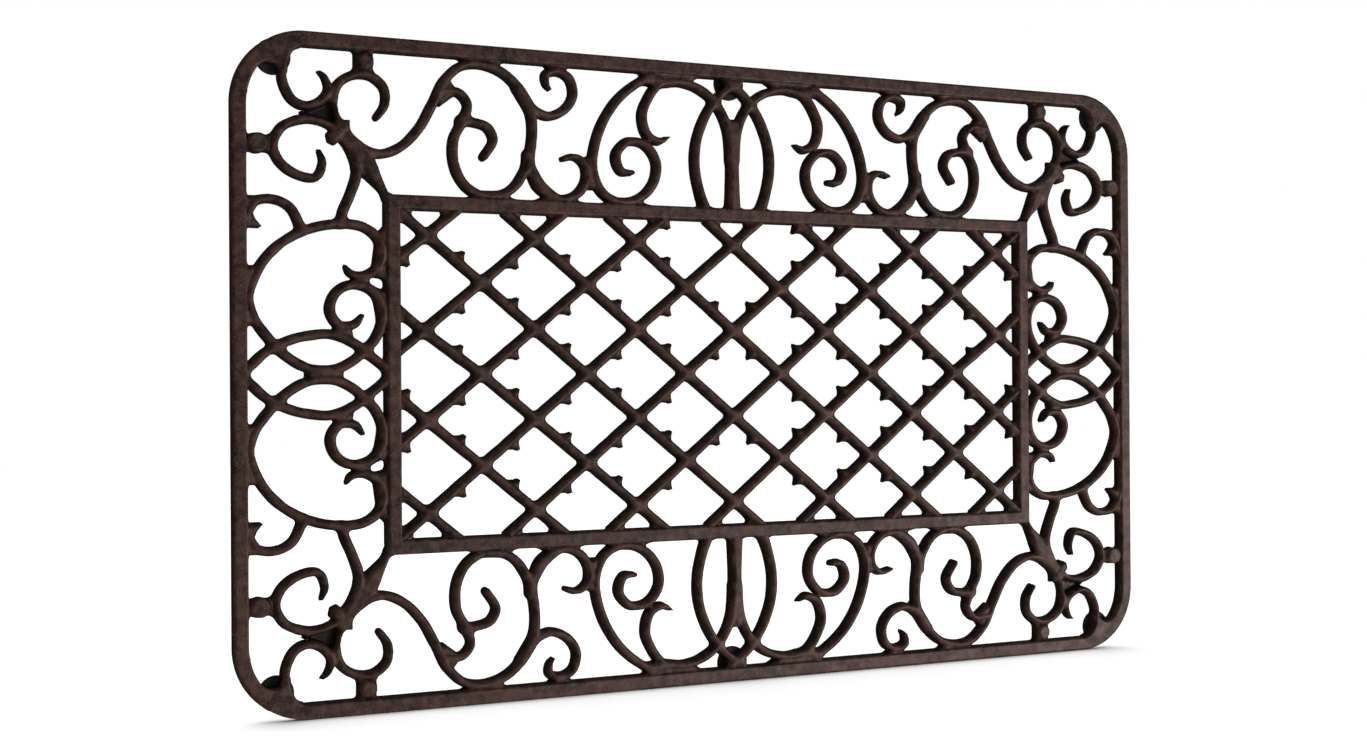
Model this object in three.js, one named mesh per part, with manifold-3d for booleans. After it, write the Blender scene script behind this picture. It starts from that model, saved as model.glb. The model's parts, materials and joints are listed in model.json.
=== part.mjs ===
// Cast iron door mat: a rounded rim, a border of scrollwork, an inner frame and
// a diamond lattice with small thorns, standing on six rubber feet.
// Millimetres, +Z up. The mat lies flat: X runs along its length, Y along its
// width, and the origin is at the middle of the floor under it.

import * as THREE from 'three';
import { mergeVertices } from 'three/addons/utils/BufferGeometryUtils.js';
import Module from 'manifold-3d';

const wasm = await Module();
wasm.setup();

// Overall sizes
const MAT_LENGTH = 750;
const MAT_WIDTH = 450;
const CORNER_RADIUS = 48;
const IRON_DEPTH = 9;

// Outer rim
const RIM_WIDTH = 9.4;
const RIM_CHAMFER = 1.2;

// Inner frame, and the border of scrollwork between it and the edge of the mat
const BORDER_END = 105;
const BORDER_SIDE = 104.5;
const FRAME_LENGTH = MAT_LENGTH - 2 * BORDER_END;
const FRAME_WIDTH = MAT_WIDTH - 2 * BORDER_SIDE;
const FRAME_BAR = 9.4;
const FRAME_CHAMFER = 1.1;

// Scroll bars
const SCROLL_BAR = 5.2;
const SCROLL_DRAFT = 0.5;
const SCROLL_DROP = 0.4;
const WEB_DROP = 1.2;
const DEEP_WEB_DROP = 4;
const BEND_STEP = 25;
const LONGEST_STEP = 26;

// Bosses on the stubs of the corner scrolls
const STUB_WIDTH = 12;
const STUB_DROP = 2.4;
const BOSS_DIAMETER = 13.4;
const BOSS_DROP = 0.5;
const BOSS_SIDES = 16;

// Lattice bars and their thorns. Half of the frame's opening holds this many
// steps between crossings, and a thorn's place is given as shares of a step.
const LATTICE_BAR = 5.2;
const LATTICE_CROWN = 2.4;
const LATTICE_DROP = 0.8;
const STEPS_ALONG = 6.515;
const STEPS_ACROSS = 3.544;
const THORN_SETBACK = 0.325;
const THORN_RISE = 0.654;
const THORN_DROP = 2;

// Rubber feet
const FOOT_DIAMETER = 24;
const FOOT_HEIGHT = 4;
const FOOT_CHAMFER = 1;
const FOOT_SIDES = 20;
const CORNER_FOOT = { u: 30, v: 17 };
const MIDDLE_FOOT_INSET = 12.2;

const IRON = new THREE.MeshStandardMaterial({ color: 0x3a2b28, roughness: 0.55, metalness: 0.6 });
const RUBBER = new THREE.MeshStandardMaterial({ color: 0x141312, roughness: 0.9, metalness: 0 });

// Places are given as (u, v): u runs in from the end edge and v from the side
// edge of one quarter of the mat. On the drawing of the pattern the edge, the
// rim's inner side, the inner frame and the middle lie at the marks below, and
// the pattern stretches between them with the rim, the border and the mat.
const MARKS_U = [0, 9.4, 105, 375];
const MARKS_V = [0, 9.4, 104.5, 225];
const [, R, FU, MU] = MARKS_U;
const [, , FV, MV] = MARKS_V;
const DRAWN_BAR = 5.2;
const MID_X = MAT_LENGTH / 2;
const MID_Y = MAT_WIDTH / 2;

function stretch(value, from, to) {
  let i = 0;
  while (i < from.length - 2 && value > from[i + 1]) i += 1;
  const share = (value - from[i]) / (from[i + 1] - from[i]);
  return to[i] + share * (to[i + 1] - to[i]);
}

function toX(u) {
  if (u > MU) return -toX(2 * MU - u);
  return stretch(u, MARKS_U, [0, RIM_WIDTH, BORDER_END, MID_X]) - MID_X;
}

function toY(v) {
  if (v > MV) return -toY(2 * MV - v);
  return MID_Y - stretch(v, MARKS_V, [0, RIM_WIDTH, BORDER_SIDE, MID_Y]);
}

// Solids. Points closer together than SMALLEST_FACET are merged into one.
const SMALLEST_FACET = 0.05;

function toSolid(geometry) {
  const plain = geometry.clone();
  plain.deleteAttribute('normal');
  plain.deleteAttribute('uv');
  const merged = mergeVertices(plain, 1e-4);
  return new wasm.Manifold(new wasm.Mesh({
    numProp: 3,
    vertProperties: new Float32Array(merged.attributes.position.array),
    triVerts: new Uint32Array(merged.index.array),
  }));
}

function toGeometry(solid) {
  const mesh = solid.asOriginal().simplify(SMALLEST_FACET).getMesh();
  const geometry = new THREE.BufferGeometry();
  geometry.setAttribute('position', new THREE.BufferAttribute(mesh.vertProperties.slice(), 3));
  geometry.setIndex(new THREE.BufferAttribute(mesh.triVerts.slice(), 1));
  return geometry;
}

function join(solids) {
  return solids.reduce((whole, next) => whole.add(next));
}

// A closed skin over rings of points, each ring turning anticlockwise when seen
// from the start of the path.
function skin(rings, closed) {
  const size = rings[0].length;
  const count = rings.length;
  const index = [];
  const spans = closed ? count : count - 1;
  for (let i = 0; i < spans; i += 1) {
    const a = i * size;
    const b = ((i + 1) % count) * size;
    for (let k = 0; k < size; k += 1) {
      const n = (k + 1) % size;
      index.push(a + k, b + k, b + n, a + k, b + n, a + n);
    }
  }
  if (!closed) {
    const last = (count - 1) * size;
    for (let k = 1; k < size - 1; k += 1) {
      index.push(0, k, k + 1);
      index.push(last, last + k + 1, last + k);
    }
  }
  const geometry = new THREE.BufferGeometry();
  const flat = rings.flat(2);
  geometry.setAttribute('position', new THREE.Float32BufferAttribute(flat, 3));
  geometry.setIndex(index);
  return geometry;
}

// The section of a bar is flat below. A chamfered bar has upright sides. The
// others lean in towards their face, as the pattern has to leave the sand, and
// end flat, or in a crown that rises to a ridge.
function section(place, side, { chamfer = 0, draft = 0, crown = 0, top }) {
  const half = place.width / 2;
  const inset = Math.min(chamfer + draft, half * 0.7);
  const shoulder = top - Math.min(crown, half);
  const outline = [[-half, 0], [half, 0]];
  if (chamfer > 0) outline.push([half, top - inset]);
  if (crown > 0) {
    outline.push([half - inset, shoulder], [0, top], [-half + inset, shoulder]);
  } else {
    outline.push([half - inset, top], [-half + inset, top]);
  }
  if (chamfer > 0) outline.push([-half, top - inset]);
  return outline.map(([across, z]) => [place.x + side.x * across, place.y + side.y * across, z]);
}

// A bar along a path of {x, y, width}, with mitred corners.
function barGeometry(path, profile, closed = false) {
  const count = path.length;
  const rings = path.map((here, i) => {
    const before = closed ? path[(i + count - 1) % count] : path[Math.max(i - 1, 0)];
    const after = closed ? path[(i + 1) % count] : path[Math.min(i + 1, count - 1)];
    const into = new THREE.Vector2(here.x - before.x, here.y - before.y);
    const out = new THREE.Vector2(after.x - here.x, after.y - here.y);
    if (into.length() < 1e-9) into.copy(out);
    if (out.length() < 1e-9) out.copy(into);
    into.normalize();
    out.normalize();
    const along = into.clone().add(out).normalize();
    const mitre = 1 / Math.max(along.dot(into), 0.5);
    const side = { x: along.y * mitre, y: -along.x * mitre };
    return section(here, side, profile);
  });
  return skin(rings, closed);
}

// Points along a smooth curve, closer together where it bends more.
function smoothPath(points) {
  const sized = (width) => (SCROLL_BAR * width) / DRAWN_BAR;
  const nodes = points.map(
    ([u, v, width = DRAWN_BAR]) => new THREE.Vector3(toX(u), toY(v), sized(width)),
  );
  if (nodes.length === 2) return nodes.map((p) => ({ x: p.x, y: p.y, width: p.z }));
  const curve = new THREE.CatmullRomCurve3(nodes, false, 'centripetal');
  const fine = curve.getPoints(nodes.length * 16);
  const kept = [fine[0]];
  let bend = 0;
  let run = 0;
  for (let i = 1; i < fine.length - 1; i += 1) {
    const into = fine[i].clone().sub(fine[i - 1]).setZ(0);
    const out = fine[i + 1].clone().sub(fine[i]).setZ(0);
    bend += into.angleTo(out) * THREE.MathUtils.RAD2DEG;
    run += into.length();
    if (bend >= BEND_STEP || run >= LONGEST_STEP) {
      kept.push(fine[i]);
      bend = 0;
      run = 0;
    }
  }
  kept.push(fine[fine.length - 1]);
  return kept.map((p) => ({ x: p.x, y: p.y, width: p.z }));
}

// One scroll bar through hand-placed points [u, v, width].
function scroll(...points) {
  const top = IRON_DEPTH - SCROLL_DROP;
  return toSolid(barGeometry(smoothPath(points), { draft: SCROLL_DRAFT, top }));
}

// A flat web between bars, its face a little below theirs.
function web(drop, ...corners) {
  const outline = new THREE.Shape(corners.map(([u, v]) => new THREE.Vector2(toX(u), toY(v))));
  const depth = IRON_DEPTH - SCROLL_DROP - drop;
  return toSolid(new THREE.ExtrudeGeometry(outline, { depth, bevelEnabled: false }));
}

// A box over the full depth.
function fullBox(x0, y0, x1, y1) {
  const box = new THREE.BoxGeometry(x1 - x0, y1 - y0, 4 * IRON_DEPTH);
  box.translate((x0 + x1) / 2, (y0 + y1) / 2, 0);
  return toSolid(box);
}

// The part of a solid inside boxes from corner (u0, v0) to corner (u1, v1).
function cut(solid, cells) {
  const boxes = cells.map(([u0, v0, u1, v1]) => fullBox(toX(u0), toY(v1), toX(u1), toY(v0)));
  return solid.intersect(join(boxes));
}

// Corner ornament: a hook from the corner web, two C scrolls held by stubs with
// round bosses, a collar, and a strut to the corner of the inner frame.
function stub(u, v, alongU) {
  const half = STUB_WIDTH / 2;
  const reach = alongU ? [[8, v], [28, v]] : [[u, 8], [u, 25]];
  const path = reach.map(([a, b]) => ({ x: toX(a), y: toY(b), width: 2 * half }));
  const top = IRON_DEPTH - STUB_DROP;
  const disc = new THREE.CylinderGeometry(BOSS_DIAMETER / 2, BOSS_DIAMETER / 2, 1, BOSS_SIDES);
  disc.rotateX(Math.PI / 2);
  disc.scale(1, 1, IRON_DEPTH - BOSS_DROP);
  disc.translate(toX(u), toY(v), (IRON_DEPTH - BOSS_DROP) / 2);
  return toSolid(barGeometry(path, { draft: SCROLL_DRAFT, top })).add(toSolid(disc));
}

function cornerOrnament() {
  const hook = scroll(
    [35.6, 19, 5.5], [34.6, 27, 4.8], [35.4, 34.5, 4.6], [41, 44.6, 4.6], [50, 48.2, 4.9],
    [60, 45.4, 5], [65.8, 37.5, 4.4], [63.4, 28.8, 2.6], [59.2, 25, 0.8],
  );
  const sideC = scroll(
    [59.3, 77.3, 0.8], [61.9, 85, 3.4], [57.8, 94.8, 4.6], [45.7, 94, 4.8], [33, 86.3, 4.8],
    [28.5, 75, 4.8], [34.3, 63.5, 5], [46.5, 57.6, 5.2], [60, 57, 5.6], [71, 61.5, 6],
  );
  const longC = scroll(
    [99.7, 53.3, 3.6], [105.4, 44.6, 4.2], [104.8, 33.4, 4.4], [95, 25.7, 4.8], [82.5, 26.3, 4.8],
    [72, 34.2, 5], [68.9, 45.5, 5.2], [70.2, 54, 5.4], [75, 63, 6],
  );
  const collar = scroll([66.4, 67.9, 6.6], [80.3, 58.1, 6.6]);
  const branch = scroll(
    [73, 62, 7], [83.2, 77, 6], [85.5, 90, 5.4], [81.2, 105, 5.2], [75.5, 118, 5], [74, 125, 6],
  );
  const strut = scroll([81, 66, 7], [93, 85, 10], [98, 93.6, 6.6], [103, 100.6, 4.2], [109, 109, 3.6]);
  const fillet = web(WEB_DROP, [82, 73], [91, 77], [96, 88], [94, 96.5], [86.5, 97], [83, 91]);
  const hollow = web(DEEP_WEB_DROP, [54, 49.5], [62, 44], [68, 41], [71, 50], [72, 58], [62, 58], [53, 55]);
  return [
    hook, sideC, longC, collar, branch, strut, fillet, hollow,
    stub(16.4, 74.4, true), stub(89, 16.2, false),
  ];
}

// Long side: an S bar that turns into an oval loop with a hook and a curl.
function sScroll() {
  const bar = scroll(
    [73, 62, 7], [86, 73, 5.8], [101.5, 77.4], [117, 72], [130, 58.8], [139.6, 42.2], [149, 24.8],
    [162.5, 14], [179.5, 13], [194.5, 19], [206.3, 31.3], [213.2, 46.8], [213, 64.5],
    [206.8, 82.3], [195.2, 97.4], [179, 102.6], [163.5, 96.6], [155.2, 82.5], [154.9, 65.5],
    [161.6, 52], [165.2, 41, 4.6], [158.5, 32.9, 4.8], [143.2, 33.4, 4.6],
  );
  const curl = scroll([160, 52], [169.5, 52.4], [179.8, 55.6], [184, 64.3, 4.7], [176.9, 76, 4.4]);
  return [
    bar, curl,
    web(WEB_DROP, [160, 8], [191, 8], [188, 14], [163, 14]),
    web(WEB_DROP, [167, 106], [171, 99.5], [193, 99], [198, 106]),
  ];
}

// Long side: a curl that hangs from the rim beside the oval loop.
function rimCurl() {
  const bar = scroll(
    [202.6, 27.8, 4.6], [208.5, 35.3], [214.5, 41.3, 5.4], [226, 44.8], [238, 40.3], [245, 29.5, 4.9], [242.4, 18, 4.8],
    [232.5, 13.1, 5.2], [224.2, 16.3, 4.8], [224.4, 23, 3], [227.5, 26.7, 0.8],
  );
  return [
    bar,
    web(WEB_DROP, [205, 29.5], [212, 35.5], [220, 42], [217, 47.6], [212, 50], [209, 40]),
    web(WEB_DROP, [224.5, 8], [241.5, 8], [238, 14], [227, 14]),
  ];
}

// Long side: a curl that stands on the inner frame.
function frameCurl() {
  const bar = scroll(
    [209.5, 73, 4.6], [213, 82.5], [221.4, 95.8], [233.5, 102.6], [246.5, 99.8], [254.6, 89.5],
    [254.2, 78.5, 4.7], [246.5, 72.5, 4], [237.2, 74.4, 2.2],
  );
  return [
    bar,
    web(2 * WEB_DROP, [207.5, 82], [212.5, 80], [216, 91], [208.5, 89.5]),
    web(WEB_DROP, [225, 106], [229, 100.5], [245, 100.5], [249, 106]),
    web(WEB_DROP, [252, 74], [259, 71], [261, 84], [262, 92], [255.5, 92.5], [254, 86]),
  ];
}

// Long side: a pear-shaped scroll with a spiral inside, a stem with a leaf tip,
// and the arch that runs from it into the middle of the side.
function pearScroll() {
  const pear = scroll(
    [307, 12, 5.5], [297, 17.2], [286, 25], [276, 35.4], [267.5, 49], [261.8, 65], [260.5, 82],
    [267.5, 96.6], [282, 103], [298, 99.5], [309.4, 87.3], [311, 72.5], [301.5, 60.7],
    [288.5, 59.7], [279, 69.5], [282.5, 80.6, 4.8], [291.2, 81.6, 3],
  );
  const stem = scroll(
    [314, 16.5], [306, 26], [300.2, 40], [303.8, 53.6, 5.2], [313.5, 58, 4.2], [322, 54.2, 0.8],
  );
  return [
    pear, stem,
    web(WEB_DROP, [299, 8], [346.5, 8], [340, 14.5], [325, 14], [312, 19], [303, 17]),
    web(WEB_DROP, [271, 106], [275, 100], [298, 100], [303, 106]),
  ];
}

// Middle of the long side: two loops that cross, with an upright between them.
function crossingLoops() {
  const arch = scroll(
    [304, 13.5, 6], [316, 15.6, 5.6], [332, 14.4], [346, 17.8], [358.3, 25.4], [367.8, 38.5],
    [372.4, 54], [374, 68],
  );
  const loop = scroll(
    [380, 11.5], [370.5, 17], [360, 26.6], [350, 42], [344.2, 59, 5.2], [343.5, 77, 5.3],
    [347, 93, 5.4], [352, 107, 7],
  );
  const upright = scroll([375, 42, 6], [375, 60, 7.4], [375, 82, 8], [375, 107, 10]);
  return [arch, loop, upright, web(WEB_DROP, [368, 8], [382, 8], [380, 17], [370, 17])];
}

// Short side: a hook with a thorn beside the rim.
function sideHook() {
  const bar = scroll(
    [8.5, 127, 5], [11.5, 119], [17.5, 112], [28.5, 110.3, 4.8], [39.8, 115.6, 4.8], [48.5, 131.5],
  );
  return [bar, web(WEB_DROP, [8, 120], [15.5, 121.5], [18.9, 126.9], [17.4, 128.1], [8, 128.8])];
}

// Short side: a large C scroll that leans on the rim and on the inner frame.
function sideScroll() {
  const bar = scroll(
    [76.8, 152.7, 0.8], [80.6, 157.6, 3.8], [90, 159.4], [99.6, 153.6], [102.6, 144], [99.4, 133.4],
    [88, 126], [72, 125.2], [54, 128.8], [37.5, 136.6], [24.5, 147.7], [15.4, 162], [11.7, 176],
    [15.4, 188.4], [26, 202.6],
  );
  return [
    bar,
    web(WEB_DROP, [8, 155.5], [13, 160], [13, 188], [8, 192.5]),
    web(WEB_DROP, [100, 130], [106, 127], [106, 158], [100, 157]),
  ];
}

// Short side: a spiral between the large scroll and the crossing arcs.
function sideSpiral() {
  const bar = scroll(
    [91, 208.4], [97.4, 201.8], [102.4, 190], [101.8, 177.5], [94, 167.8], [81.5, 165.4],
    [70.4, 171.2], [66.4, 182.5], [72.4, 191.8, 5.2], [82.5, 192.2, 4.8], [89, 185.5, 1],
  );
  return [
    bar,
    web(WEB_DROP, [83, 157.5], [93, 157.5], [94, 167.5], [81, 166.5]),
    web(WEB_DROP, [71, 190], [80.5, 192], [82, 200], [68, 199]),
    web(WEB_DROP, [100.5, 172], [106, 170], [106, 194], [100.5, 190]),
  ];
}

// Middle of the short side: arcs that cross and leave two lens openings.
function crossingArcs() {
  const upper = scroll(
    [7.5, 224.5], [15, 217.3], [23, 210.3], [36, 203.6], [52, 199.3], [68, 198.4], [82, 203.4],
    [94, 212], [107, 222],
  );
  const lower = scroll(
    [15.4, 188.4], [26, 202.6], [38, 213.6], [54, 221.2, 5.4], [70, 221.6, 5.6], [82, 216.2],
    [91, 208.4], [97.4, 201.8],
  );
  return [upper, lower, web(WEB_DROP, [50, 222], [75, 222], [75, 228], [50, 228])];
}

// Rim with a web in each corner
function roundedLoop(length, width, radius, steps) {
  const path = [];
  const corners = [[1, 1, 0], [-1, 1, 90], [-1, -1, 180], [1, -1, 270]];
  for (const [sx, sy, start] of corners) {
    const cx = sx * (length / 2 - radius);
    const cy = sy * (width / 2 - radius);
    for (let k = 0; k <= steps; k += 1) {
      const angle = (start + (90 * k) / steps) * THREE.MathUtils.DEG2RAD;
      path.push({ x: cx + radius * Math.cos(angle), y: cy + radius * Math.sin(angle) });
    }
  }
  return path;
}

function rectangleLoop(length, width) {
  const corners = [[1, 1], [-1, 1], [-1, -1], [1, -1]];
  return corners.map(([sx, sy]) => ({ x: (sx * length) / 2, y: (sy * width) / 2 }));
}

function loopBar(path, width, chamfer) {
  const sized = path.map((p) => ({ ...p, width }));
  return toSolid(barGeometry(sized, { chamfer, top: IRON_DEPTH }, true));
}

// The web in a corner starts at these marks on the rim, and ends where the hook
// begins.
const WEB_START = { u: 48, v: 52 };
const HOOK_START_V = 24.4;

// The corner pieces of the rim hold its bend and the whole web.
const CORNER_REACH_X = Math.max(CORNER_RADIUS, MID_X + toX(WEB_START.u));
const CORNER_REACH_Y = Math.max(CORNER_RADIUS, MID_Y - toY(WEB_START.v));

function cornerWeb() {
  const outline = new THREE.Shape();
  const inset = RIM_WIDTH / 2;
  outline.moveTo(toX(WEB_START.u), toY(0) - inset);
  outline.lineTo(toX(WEB_START.u), toY(R));
  outline.bezierCurveTo(toX(44), toY(R), toX(39.5), toY(17), toX(38.2), toY(HOOK_START_V));
  outline.lineTo(toX(21), toY(HOOK_START_V));
  outline.bezierCurveTo(toX(15), toY(25), toX(10), toY(39), toX(R), toY(WEB_START.v));
  outline.lineTo(toX(0) + inset, toY(WEB_START.v));
  outline.lineTo(toX(0) + inset, toY(0) - inset);
  const depth = IRON_DEPTH - RIM_CHAMFER / 2;
  return new THREE.ExtrudeGeometry(outline, { depth, bevelEnabled: false, curveSegments: 6 });
}

// Mirrored copies: one quarter fills the other three.
function mirrored(solid, flipX, flipY) {
  const geometry = toGeometry(solid);
  geometry.scale(flipX ? -1 : 1, flipY ? -1 : 1, 1);
  if (flipX !== flipY) geometry.index.array.reverse();
  return geometry;
}

const QUARTERS = [
  ['back_left', false, false],
  ['back_right', true, false],
  ['front_left', false, true],
  ['front_right', true, true],
];

function outerRim() {
  const centreLine = roundedLoop(
    MAT_LENGTH - RIM_WIDTH, MAT_WIDTH - RIM_WIDTH, CORNER_RADIUS - RIM_WIDTH / 2, 7,
  );
  const ring = loopBar(centreLine, RIM_WIDTH, RIM_CHAMFER);
  const inside = new THREE.Shape(centreLine.map(({ x, y }) => new THREE.Vector2(x, y)));
  const disc = new THREE.ExtrudeGeometry(inside, { depth: IRON_DEPTH, bevelEnabled: false });
  const corner = toSolid(cornerWeb()).intersect(toSolid(disc));
  return QUARTERS.reduce(
    (whole, [, flipX, flipY]) => whole.add(toSolid(mirrored(corner, flipX, flipY))), ring,
  );
}

function innerFrame() {
  const centreLine = rectangleLoop(FRAME_LENGTH - FRAME_BAR, FRAME_WIDTH - FRAME_BAR);
  return loopBar(centreLine, FRAME_BAR, FRAME_CHAMFER);
}

// Lattice: two families of slanting bars through a grid of crossings. Crossing
// (i, j) lies i steps along X and j steps along Y from the middle of the mat.
const OPEN_X = FRAME_LENGTH / 2 - FRAME_BAR;
const OPEN_Y = FRAME_WIDTH / 2 - FRAME_BAR;
const STEP_X = OPEN_X / STEPS_ALONG;
const STEP_Y = OPEN_Y / STEPS_ACROSS;
const LAST_COLUMN = Math.floor(STEPS_ALONG);
const LAST_ROW = Math.floor(STEPS_ACROSS);

function latticeBars() {
  const reach = LAST_COLUMN + LAST_ROW + 1;
  const rows = LAST_ROW + 2;
  const bars = [];
  for (let c = -reach; c <= reach; c += 1) {
    if (Math.abs(c) % 2 !== 1) continue;
    for (const lean of [1, -1]) {
      const end = (t) => ({ x: STEP_X * (c + lean * t), y: STEP_Y * t, width: LATTICE_BAR });
      const top = IRON_DEPTH - LATTICE_DROP;
      const path = [end(-rows), end(rows)];
      bars.push(toSolid(barGeometry(path, { draft: SCROLL_DRAFT, crown: LATTICE_CROWN, top })));
    }
  }
  return bars;
}

// A thorn stands on a bar in the left half, short of the crossing at its right
// end (x, y). Side +1 puts it above a falling bar, -1 below a rising one.
function thorn(x, y, side) {
  const tip = new THREE.Vector2(x - THORN_SETBACK * STEP_X, y + side * THORN_RISE * STEP_Y);
  const back = x - THORN_RISE * STEP_X;
  const foot = y + side * THORN_SETBACK * STEP_Y;
  const corners = [tip, new THREE.Vector2(back, tip.y), new THREE.Vector2(tip.x, foot)];
  const outline = new THREE.Shape(corners);
  const depth = IRON_DEPTH - LATTICE_DROP - THORN_DROP;
  return new THREE.ExtrudeGeometry(outline, { depth, bevelEnabled: false });
}

// Rows of bars are numbered from the far side, row 1 under the first crossings.
// The columns next to the middle and next to the frame miss some thorns.
const MIDDLE_COLUMN_ROWS = [2, 3, 5];
const END_COLUMN_ROWS = [1, 4, 5];

function hasThorn(column, row) {
  if (row === 0) return column === -2;
  if (column === -1) return MIDDLE_COLUMN_ROWS.includes(row);
  if (column < -LAST_COLUMN) return END_COLUMN_ROWS.includes(row);
  return true;
}

function thorns() {
  const found = [];
  for (let column = -LAST_COLUMN - 1; column <= -1; column += 1) {
    for (let row = 0; row <= 2 * LAST_ROW; row += 1) {
      if (!hasThorn(column, row)) continue;
      const upper = LAST_ROW - row + 1;
      const falling = Math.abs(column + upper) % 2 === 1;
      if (row === 0 && falling) continue;
      const end = falling ? upper - 1 : upper;
      const x = STEP_X * (column + 1);
      const solid = toSolid(thorn(x, STEP_Y * end, falling ? 1 : -1));
      found.push(solid, toSolid(mirrored(solid, true, false)));
    }
  }
  return found;
}

function lattice() {
  const opening = new THREE.BoxGeometry(2 * OPEN_X, 2 * OPEN_Y, 4 * IRON_DEPTH);
  return join([...latticeBars(), ...thorns()]).intersect(toSolid(opening));
}

// Rubber feet
function footGeometry() {
  const radius = FOOT_DIAMETER / 2;
  const profile = [
    [0, 0], [radius - FOOT_CHAMFER, 0], [radius, FOOT_CHAMFER], [radius, FOOT_HEIGHT],
    [0, FOOT_HEIGHT],
  ];
  const points = profile.map(([r, z]) => new THREE.Vector2(r, z));
  const geometry = new THREE.LatheGeometry(points, FOOT_SIDES);
  geometry.rotateX(Math.PI / 2);
  geometry.deleteAttribute('normal');
  geometry.deleteAttribute('uv');
  return mergeVertices(geometry, 1e-4);
}

// Where one ornament ends and the next begins, as boxes [u0, v0, u1, v1].
const QUARTER_PIECES = {
  corner_ornament: [
    [R, HOOK_START_V, 56, 104], [56, HOOK_START_V, 96, 121], [50, R, 96, HOOK_START_V],
    [96, R, 112, 60], [96, 81, 109, FV], [96, FV, FU, 110],
  ],
  s_scroll: [[96, 60, 112, 81], [112, R, 216, 78], [216, 48.5, 218, 66], [112, 78, 212.8, FV]],
  rim_curl: [[216, R, 252, 48.5]],
  frame_curl: [[212.8, 78, 256.8, FV], [218, 62, 256.8, 78]],
  pear_scroll: [[256.8, R, 336, FV], [336, R, 346, 30]],
  side_hook: [[R, 104, 30, 132], [30, 104, 52, 126]],
  side_scroll: [[52, 121, FU, 161.3], [30, 126, 52, 161.3], [R, 132, 30, 195.2]],
  side_spiral: [[60, 161.3, FU, 195.2]],
};
const LONG_MIDDLE = [[346, R, MU, 30], [336, 30, MU, FV]];
const SHORT_MIDDLE = [[R, 195.2, FU, MV]];

function buildCasting() {
  const group = new THREE.Group();
  group.position.z = FOOT_HEIGHT;
  const add = (name, geometry) => {
    const mesh = new THREE.Mesh(geometry, IRON.clone());
    mesh.name = name;
    group.add(mesh);
  };
  const scrollwork = join([
    ...cornerOrnament(), ...sScroll(), ...rimCurl(), ...frameCurl(), ...pearScroll(),
    ...crossingLoops(), ...sideHook(), ...sideScroll(), ...sideSpiral(), ...crossingArcs(),
  ]);

  const rim = outerRim();
  const bendX = MID_X - CORNER_REACH_X;
  const bendY = MID_Y - CORNER_REACH_Y;
  const rimCorner = rim.intersect(fullBox(-MID_X, bendY, -bendX, MID_Y));
  const rimLong = rim.intersect(fullBox(-bendX, MID_Y - RIM_WIDTH, bendX, MID_Y));
  const rimShort = rim.intersect(fullBox(-MID_X, -bendY, -MID_X + RIM_WIDTH, bendY));
  add('rim_back', toGeometry(rimLong));
  add('rim_front', mirrored(rimLong, false, true));
  add('rim_left', toGeometry(rimShort));
  add('rim_right', mirrored(rimShort, true, false));
  for (const [place, flipX, flipY] of QUARTERS) {
    add(`rim_corner_${place}`, mirrored(rimCorner, flipX, flipY));
  }

  const frame = innerFrame();
  const frameShort = frame.intersect(fullBox(-FRAME_LENGTH / 2, -MID_Y, -OPEN_X, MID_Y));
  const frameLong = frame.intersect(fullBox(-OPEN_X, 0, OPEN_X, MID_Y));
  add('frame_back', toGeometry(frameLong));
  add('frame_front', mirrored(frameLong, false, true));
  add('frame_left', toGeometry(frameShort));
  add('frame_right', mirrored(frameShort, true, false));
  add('lattice', toGeometry(lattice()));

  for (const [piece, cells] of Object.entries(QUARTER_PIECES)) {
    const solid = cut(scrollwork, cells);
    for (const [place, flipX, flipY] of QUARTERS) {
      add(`${piece}_${place}`, mirrored(solid, flipX, flipY));
    }
  }

  const loops = cut(scrollwork, LONG_MIDDLE);
  const bothLoops = loops.add(toSolid(mirrored(loops, true, false)));
  add('crossing_loops_back', toGeometry(bothLoops));
  add('crossing_loops_front', mirrored(bothLoops, false, true));

  const arcs = cut(scrollwork, SHORT_MIDDLE);
  const bothArcs = arcs.add(toSolid(mirrored(arcs, false, true)));
  add('crossing_arcs_left', toGeometry(bothArcs));
  add('crossing_arcs_right', mirrored(bothArcs, true, false));
  return group;
}

function buildFeet() {
  const group = new THREE.Group();
  const geometry = footGeometry();
  const add = (name, x, y) => {
    const mesh = new THREE.Mesh(geometry, RUBBER.clone());
    mesh.name = name;
    mesh.position.set(x, y, 0);
    group.add(mesh);
  };
  const cornerX = toX(CORNER_FOOT.u);
  const cornerY = toY(CORNER_FOOT.v);
  for (const [place, flipX, flipY] of QUARTERS) {
    add(`rubber_foot_${place}`, flipX ? -cornerX : cornerX, flipY ? -cornerY : cornerY);
  }
  const middleY = MID_Y - MIDDLE_FOOT_INSET;
  add('rubber_foot_back_middle', 0, middleY);
  add('rubber_foot_front_middle', 0, -middleY);
  return group;
}

const mat = new THREE.Group();
mat.add(buildCasting(), buildFeet());

export default mat;
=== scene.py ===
"""A cast iron door mat with a scrollwork border, an inner frame and a diamond lattice.

The casting is drawn as one quarter panel and unfolded over the whole mat. Places
on the panel are (u, v) in millimetres: u runs in from the end edge of the mat and
v from its side edge. Heights are in millimetres over the flat back of the iron.
"""

from __future__ import annotations

import json
import logging
import math
from collections.abc import Iterable
from dataclasses import dataclass, field
from enum import Enum
from typing import ClassVar

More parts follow.
